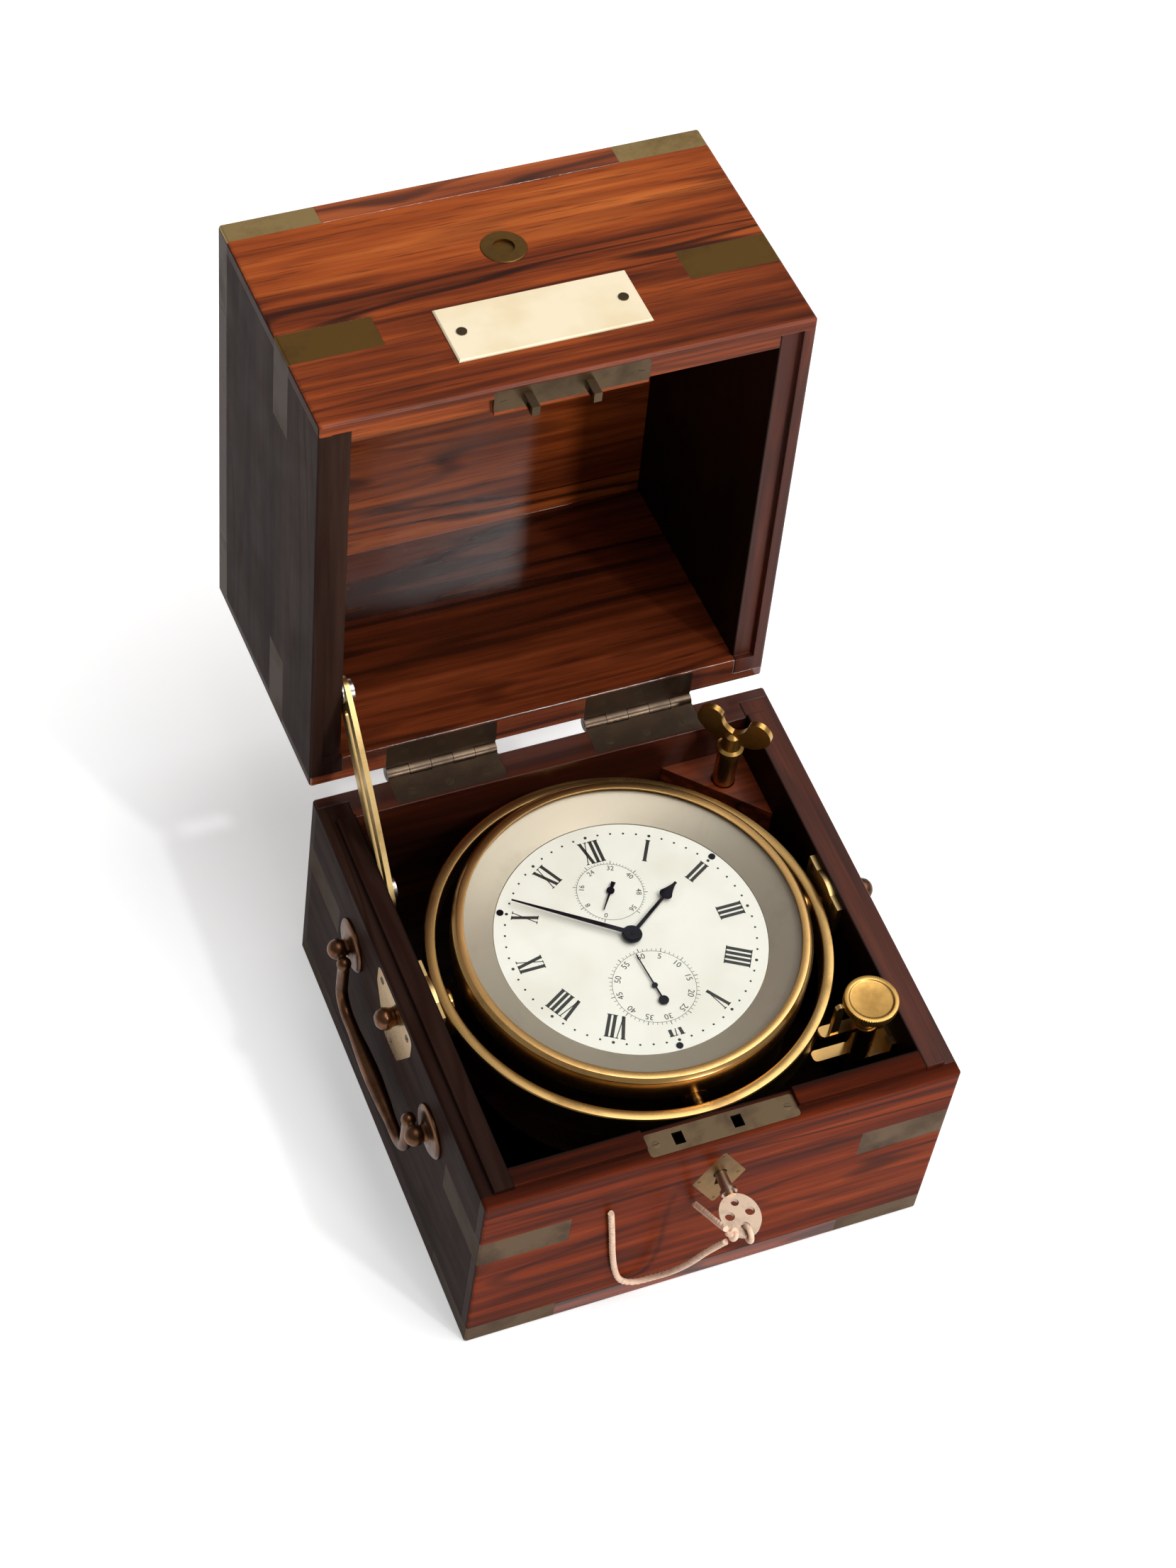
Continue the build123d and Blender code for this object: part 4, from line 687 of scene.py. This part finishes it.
numbers = bmesh.new()
small = [(str(s or 60), 2.3, 13.4, 6 * s, SMALL_Y) for s in range(0, 60, 5)]
small += [(str(h), 2.0, 10.6, reserve_angle(h), RESERVE_Y) for h in range(0, RESERVE_HOURS + 1, 8)]
for entry in small:
    numbers.from_mesh(small_number(*entry))
numbers_mesh = bpy.data.meshes.new("small_dial_numbers")
numbers.to_mesh(numbers_mesh)
numbers.free()
piece("small_dial_numbers", numbers_mesh, black_wax, "bowl")

# %% [markdown]
# ## Handles
# Each drop handle is a bent bar that swells in the middle. It hangs from two ball-ended lugs on round plates.
# A bar that follows a flat path needs only one fixed side direction: the ring of points round the path is then
# radius times (cos t side + sin t across), where across is square to both the path and the side.

# %% Shape of a handle
BAIL_HALF, BAIL_LOW, BAIL_R, BAIL_BEND, BALL_R = 35.0, 47.0, 2.3, 9.0, 2.8


def tube(path, radii, side, count=24):
    """A round bar along a flat path, its radius given point by point."""
    across = np.cross(unit(np.gradient(path, axis=0)), side)
    t = angles(count)
    rings = np.cos(t)[None, :, None] * np.array(side, float) + np.sin(t)[None, :, None] * across[:, None]
    return path[:, None] + np.array(radii, float)[:, None, None] * rings


def mirrored(half):
    """One leg's numbers and then the same backwards, without doubling the middle."""
    return np.concatenate([half, half[-2::-1]])


ball = np.linspace(0.0, 2.18, 9)  # angles over the ball at the leg's end
bend = np.linspace(0, np.pi / 2, 12)  # angles through the bend at its foot
grip = np.linspace(24, 0, 14)  # from the bend to the middle of the grip
leg_y = np.concatenate([np.full(13, BAIL_HALF), BAIL_HALF - BAIL_BEND + BAIL_BEND * np.cos(bend), grip])
leg_z = np.concatenate([LUG_Z + BALL_R * np.cos(ball), np.linspace(67, 58, 4),
                        BAIL_LOW + BAIL_BEND - BAIL_BEND * np.sin(bend), np.full(14, BAIL_LOW)])
swell = np.interp(grip, [0, 3, 12, 20], [3.3, 3.3, 2.9, BAIL_R])
leg_r = np.concatenate([BALL_R * np.sin(ball), np.full(16, BAIL_R), swell])
bail_y = np.concatenate([-leg_y, leg_y[-2::-1]])
bail_z, bail_r = mirrored(leg_z), mirrored(leg_r)
lug_ball = np.linspace(0.89, np.pi, 14)
lug_profile = rounded([(0, 0), (10.5, 0), (10.5, 0.9), (9.4, 1.6), (5.4, 1.9), (3.7, 2.6), (3.2, 3.3)], 0.25,
                      False)
lug_profile = np.concatenate([lug_profile, np.column_stack([4 * np.sin(lug_ball), 6 - 4 * np.cos(lug_ball)])])
print("points along a handle", len(bail_y))

# %% Handles, lugs and the gimbal's side screws
PIN_R, PIN_LONG, PIN_Y = 1.7, 8.0, 36.5
knob_profile = rounded([(0, 0), (2.0, 0), (2.0, 5.6), (3.0, 5.6), (3.0, 21.0), (3.6, 21.0), (3.6, 22.2),
                        (4.0, 22.9), (4.3, 24.0), (4.3, 25.0), (3.7, 26.6), (2.3, 27.9), (0, 28.4)], 0.5, False)
lugs, knobs = [], []
for side, word in zip(SIDES, ("left", "right")):
    path = np.column_stack([np.full(len(bail_y), side * LUG_X), bail_y, bail_z])
    pins = [aimed(lathe([(0, 0), (PIN_R, 0), (PIN_R, PIN_LONG), (0, PIN_LONG)], 20),
                  (side * LUG_X, end * PIN_Y, LUG_Z), (0, end, 0)) for end in SIDES]
    knitted("bail_" + word + "_forged", [tube(path, bail_r, (1, 0, 0))] + pins, bronzed_brass, word + "_handle",
            ["bail_" + word])
    lugs += [aimed(lathe(lug_profile, 48), (side * HALF, end * LUG_Y, LUG_Z), (side, 0, 0)) for end in SIDES]
    knobs.append(aimed(lathe(knob_profile, 40), (side * 71.0, 0, GIMBAL_Z), (side, 0, 0)))
knitted("handle_lugs_turned", lugs, bronzed_brass, "base", ["handle_lugs"])
knitted("gimbal_side_screws_turned", knobs, bronzed_brass, "base", ["gimbal_side_screws"])

# %% [markdown]
# ## Thumb screw
# The gimbal lock is worked by a thumb screw with a knurled disc. Knurling is a ripple on the rim: where the
# radius is greatest we take off a little times (1 + cos 72t) / 2, which leaves 72 ridges.

# %% Thumb screw
RIDGES, RIDGE_DEPTH, KNURLED_FROM = 72, 0.02, 10.0
thumb_profile = rounded([(0, 66.9), (3.6, 66.9), (3.6, 71.6), (2.5, 71.6), (2.5, 94.05), (4.2, 94.05),
                         (4.2, 104.4), (10.2, 104.4), (10.2, 108.0), (8.4, 108.0), (8.0, 107.6), (0, 107.6)],
                        0.35, False)
disc = lathe(thumb_profile, 4 * RIDGES)
reach = np.linalg.norm(disc[..., :2], axis=2, keepdims=True)
ripple = (1 + np.cos(RIDGES * angles(4 * RIDGES)))[None, :, None] / 2
disc[..., :2] *= 1 - np.where(reach > KNURLED_FROM, RIDGE_DEPTH * ripple, 0.0)
knitted("thumb_screw_knurled", [disc + np.array([POST_X, POST_Y, 0])], gold_brass, "thumbscrew",
        ["thumb_screw"])

# %% [markdown]
# ## Screw heads
# The hinges, the lock plates and the gimbal plates are held by countersunk screws. A head is a shallow dome, or
# nearly flat where the shut lid rests on it, and its slot is a bar across it, dark with painted shade. Screws
# are turned as they happened to stop, so each slot has its own angle.

# %% Screw heads
FLUSH, DOMED = 0.02, 0.22
HINGE_SCREWS, HINGE_SCREW_Y, HINGE_SCREW_R = (25, 40, 55), 84.8, 1.8
LOCK_SCREW_X, LOCK_SCREW_Y, PLATE_SCREW_R = 25.5, -85.7, 1.5
OUTER_SCREWS, OUTER_SCREW_R = ((-13, 89), (13, 89), (0, 67.5)), 1.6
INNER_SCREW_X, INNER_SCREW_Y, INNER_SCREW_Z = 77.5, 9.5, 93.5
SLOT_HALF = 0.17
SLOT_TURN = 0.7  # radians, times the square of a screw's place in its list
ESCUTCHEON_PINS = ((0, 85.2), (0, 56.6), (-7.6, 71.0), (7.6, 71.0))


def screw_head(point, out, radius, rise, turn):
    """A dome of a given rise and its slot, standing on a point and facing out: two grids."""
    profile = np.array([(0, 0), (1, 0), (0.93, 0.55), (0.5, 0.9), (0, 1)]) * (radius, rise)
    head = lathe(profile, 24)
    slot = bar((-radius * 0.88, radius * 0.88), (-SLOT_HALF, SLOT_HALF), (rise * 0.2, rise * 1.15))
    turned = np.array([[math.cos(turn), math.sin(turn), 0], [-math.sin(turn), math.cos(turn), 0], [0, 0, 1]])
    return aimed(head, point, out), aimed(slot @ turned, point, out)


def rim_screws(out):
    """Spots of the screws in the plates on the rim, of the hinges first and then of the lock."""
    hinges = [((side * x, HINGE_SCREW_Y, RIM), out, HINGE_SCREW_R, FLUSH) for side in SIDES for x in HINGE_SCREWS]
    return hinges + [((side * LOCK_SCREW_X, LOCK_SCREW_Y, RIM), out, PLATE_SCREW_R, FLUSH) for side in SIDES]


base_spots = rim_screws((0, 0, 1))
base_spots += [((side * HALF, y, z), (side, 0, 0), OUTER_SCREW_R, DOMED) for side in SIDES
               for y, z in OUTER_SCREWS]
base_spots += [((side * INNER_SCREW_X, end * INNER_SCREW_Y, INNER_SCREW_Z), (-side, 0, 0), PLATE_SCREW_R, DOMED)
               for side in SIDES for end in SIDES]
for body, spots in (("base", base_spots), ("lid", rim_screws((0, 0, -1)))):
    heads, slots = zip(*[screw_head(*spot, SLOT_TURN * k * k) for k, spot in enumerate(spots)])
    if body == "lid":
        heads, slots = [opened(g) for g in heads], [opened(g) for g in slots]
    knitted(body + "_screw_heads", heads, dark_brass, body)
    # Slots are dark bars: painted shade.
    knitted(body + "_screw_slots", slots, slot_shade, body)
pins = [aimed(lathe([(0, 0), (0.75, 0), (0.6, 0.2), (0, 0.3)], 16), (x, -HALF, z), (0, -1, 0))
        for x, z in ESCUTCHEON_PINS]
knitted("escutcheon_pins", pins, strap_brass, "base")

# %% [markdown]
# ## Cord on the key
# A length of pinkish cotton is knotted through the key's bow, and both ends are bare. Blender's NURBS curve
# gives a smooth path that follows the CAD cord's own points and meets the first and the last. Round that path we
# lay three twisted strands: the radius falls between strands as the absolute value of cos(1.5 angle), and the
# angle turns once every 7 mm.

# %% Cords
CORD_R = 1.2
SPACING = 0.5
LONG_ROUTE = [(-8.5, -117.7, 72.4), (-11.8, -113.6, 61.0), (-13.3, -107.4, 42.5), (-15.8, -101.0, 26.0),
              (-20.0, -96.2, 16.0), (-26.6, -94.2, 12.0), (-32.6, -93.6, 15.5), (-35.6, -93.5, 24.0),
              (-38.3, -93.6, 38.5), (-40.3, -93.5, 55.0), (-42.6, -93.6, 71.0)]
SHORT_ROUTE = [(-8.6, -116.1, 78.9), (-9.2, -112.4, 76.3), (-8.3, -103.6, 67.5), (-8.2, -93.4, 58.4)]


def spine(route):
    """Points half a millimetre apart on a NURBS curve that follows the route and ends exactly at its two ends."""
    curve = bpy.data.curves.new("spine", "CURVE")
    curve.dimensions = "3D"
    curve.resolution_u = 24
    line = curve.splines.new("NURBS")
    line.points.add(len(route) - 1)
    line.points.foreach_set("co", np.column_stack([np.array(route), np.ones(len(route))]).ravel())
    line.order_u = 3
    line.use_endpoint_u = True
    holder = bpy.data.objects.new("spine", curve)
    mesh = bpy.data.meshes.new_from_object(holder)
    rough = np.empty(len(mesh.vertices) * 3)
    mesh.vertices.foreach_get("co", rough)
    rough = rough.reshape(-1, 3)
    bpy.data.objects.remove(holder)
    gone = np.concatenate([[0], np.cumsum(np.linalg.norm(np.diff(rough, axis=0), axis=1))])
    even = np.linspace(0, gone[-1], int(gone[-1] / SPACING) + 1)
    return np.column_stack([np.interp(even, gone, rough[:, k]) for k in range(3)]), gone[-1]


def twisted(path, length, radius, turn_mm=7.0, depth=0.22, count=24):
    """Three strands round a path, ends closed: ring points at radius (1 - depth + depth |cos 1.5(t - twist)|)."""
    ahead = unit(np.gradient(path, axis=0))
    first = unit(np.cross(ahead, (0.0, -1.0, 0.0)))
    second = np.cross(ahead, first)
    t = angles(count)[None, :]
    twist = np.linspace(0, length, len(path))[:, None] * 2 * np.pi / turn_mm
    r = (radius * (1 - depth + depth * np.abs(np.cos(1.5 * (t - twist)))))[..., None]
    body = path[:, None] + r * (np.cos(t)[..., None] * first[:, None] + np.sin(t)[..., None] * second[:, None])
    caps = [np.repeat(end[None, None], count, 1) for end in (path[0], path[-1])]
    return np.concatenate([caps[0], body, caps[1]])


for name, route in (("cord_long", LONG_ROUTE), ("cord_short", SHORT_ROUTE)):
    path, length = spine(route)
    made = knitted(name + "_twisted", [twisted(path, length, CORD_R)], cotton, "base", [name], sharp=60)
    print(name, "length", round(length, 1), "mm")

# %% [markdown]
# The knot is a trefoil, the shape of a real overhand knot: x = sin t + 2 sin 2t, y = cos t - 2 cos 2t,
# z = -sin 3t. A plain ring of cord goes through the bow beside it: round its own circle of radius 2.75 mm the
# cord is a circle of radius 1 mm.

# %% Knot and loop
KNOT_SIZE, KNOT_CORD_R, KNOT_PLACE = 0.62, 0.95, (-5.9, -117.0, 75.2)
LOOP_R, LOOP_PLACE = 2.75, (0, -118.0, KEY_Z)
t = angles(72)[:, None]
knot = np.concatenate([np.sin(t) + 2 * np.sin(2 * t), np.cos(t) - 2 * np.cos(2 * t), -np.sin(3 * t)], 1)
ahead = unit(np.concatenate([np.cos(t) + 4 * np.cos(2 * t), -np.sin(t) + 4 * np.sin(2 * t),
                             -3 * np.cos(3 * t)], 1))
first = unit(knot - (knot * ahead).sum(1, keepdims=True) * ahead)
second = np.cross(ahead, first)
around = angles(16)[None, :, None]
ring = np.cos(around) * first[:, None] + np.sin(around) * second[:, None]
rope = KNOT_SIZE * knot[:, None] + KNOT_CORD_R * ring
along, across = np.meshgrid(angles(40), angles(16), indexing="ij")
wide = LOOP_R + np.cos(across)
loop = np.stack([np.sin(across), wide * np.cos(along), wide * np.sin(along)], -1)
knitted("cord_knot_tied", [rope + np.array(KNOT_PLACE), loop + np.array(LOOP_PLACE)], cotton, "key",
        ["cord_knot"], loop=True, sharp=60)

# %% [markdown]
# ## Floor, light and camera
# A white floor runs under the box to well past the picture's edges. A large soft lamp above and to the right
# makes the shading, a smaller one above fills it, and so does a pale world. A low window in front reaches into
# the open lid as far as its right wall lets it, and a small lamp shines back from the corner of the lid's two
# polished boards. The camera looks down from the front left, with the whole picture rolled by ten degrees, as
# the photograph is.

# %% Floor
FLOOR = 6.0  # metres from the middle to an edge
GLOW = 0.39  # the card's own light
corners = [(x * FLOOR, y * FLOOR, 0) for x, y in ((-1, -1), (1, -1), (1, 1), (-1, 1))]
floor_mesh = bpy.data.meshes.new("floor")
floor_mesh.from_pydata(corners, [], [(0, 1, 2, 3)])
floor = bpy.data.objects.new("floor", floor_mesh)
bpy.context.scene.collection.objects.link(floor)


def white_sweep(tree):
    """White card: it takes the shadow, and a little light of its own keeps the shadow pale where we see it."""
    path = add(tree, "LightPath").outputs
    seen = maths(tree, "ADD", path["Is Camera Ray"], path["Is Glossy Ray"])
    seen = maths(tree, "ADD", seen, path["Is Transmission Ray"])
    return add(tree, "BsdfPrincipled", {"Base Color": grey(0.8), "Roughness": 1.0, "Specular IOR Level": 0.0,
                                        "Emission Color": grey(1),
                                        "Emission Strength": maths(tree, "MULTIPLY", seen, GLOW)})


floor_mesh.materials.append(finish("white_sweep", white_sweep))
print("floor", 2 * FLOOR, "m wide")

# %% Light
FILL = 0.33  # the world's light on things, where the camera itself sees it at full strength
world = bpy.data.worlds.new("soft_room")
bpy.context.scene.world = world
world.use_nodes = True
background = world.node_tree.nodes["Background"].inputs
background["Color"].default_value = linear("#f6f5f4")
seen = add(world.node_tree, "LightPath").outputs["Is Camera Ray"]
strength = maths(world.node_tree, "MULTIPLY_ADD", seen, 1 - FILL, FILL)
world.node_tree.links.new(strength, background["Strength"])


def sun(name, energy, degrees, towards):
    """A far lamp of a given apparent width: towards points from the box to the lamp."""
    data = bpy.data.lights.new(name, "SUN")
    data.energy = energy
    data.angle = math.radians(degrees)
    lamp = bpy.data.objects.new(name, data)
    lamp.rotation_mode = "QUATERNION"
    lamp.rotation_quaternion = Vector(towards).to_track_quat("Z", "Y")
    bpy.context.scene.collection.objects.link(lamp)


sun("key_softbox", 2.35, 60, (0.50, -0.08, 1.0))
sun("low_window", 1.25, 6, (0.32, -1.0, 0.14))
sun("small_lamp", 0.6, 3.0, (0.305, -0.5226, 0.7994))

top_light = bpy.data.lights.new("top_softbox", "AREA")
top_light.energy = 2.2
top_light.size = 0.5
top = bpy.data.objects.new("top_softbox", top_light)
top.location = (-0.08, -0.12, 1.6)
bpy.context.scene.collection.objects.link(top)
print("lamps", [lamp.name for lamp in bpy.data.lights])

# %% Camera
AZIMUTH, ELEVATION, ROLL = (math.radians(v) for v in (-29.5566, 53.0713, 10.0086))
TARGET = Vector((12.366, 73.373, 89.03)) * MM
DISTANCE = 1390.67 * MM
back = Vector((math.sin(AZIMUTH) * math.cos(ELEVATION), -math.cos(AZIMUTH) * math.cos(ELEVATION),
               math.sin(ELEVATION)))
right = Vector((0, 0, 1)).cross(back).normalized()
up = back.cross(right)
rolled_right = right * math.cos(ROLL) + up * math.sin(ROLL)
rolled_up = up * math.cos(ROLL) - right * math.sin(ROLL)
camera_data = bpy.data.cameras.new("camera")
camera_data.sensor_width = 36.0
camera_data.lens = 84.2
camera = bpy.data.objects.new("camera", camera_data)
camera.matrix_world = Matrix.Translation(TARGET + back * DISTANCE) @ Matrix(
    (rolled_right, rolled_up, back)).transposed().to_4x4()
bpy.context.scene.collection.objects.link(camera)
bpy.context.scene.camera = camera
bpy.context.scene.view_settings.view_transform = "Standard"
print("camera at", [round(v, 3) for v in camera.matrix_world.translation])

# %% [markdown]
# ## Check the size and finish
# The dressed model must stay inside the CAD model's box.

# %% Bring the scene up to date
bpy.context.view_layer.update()
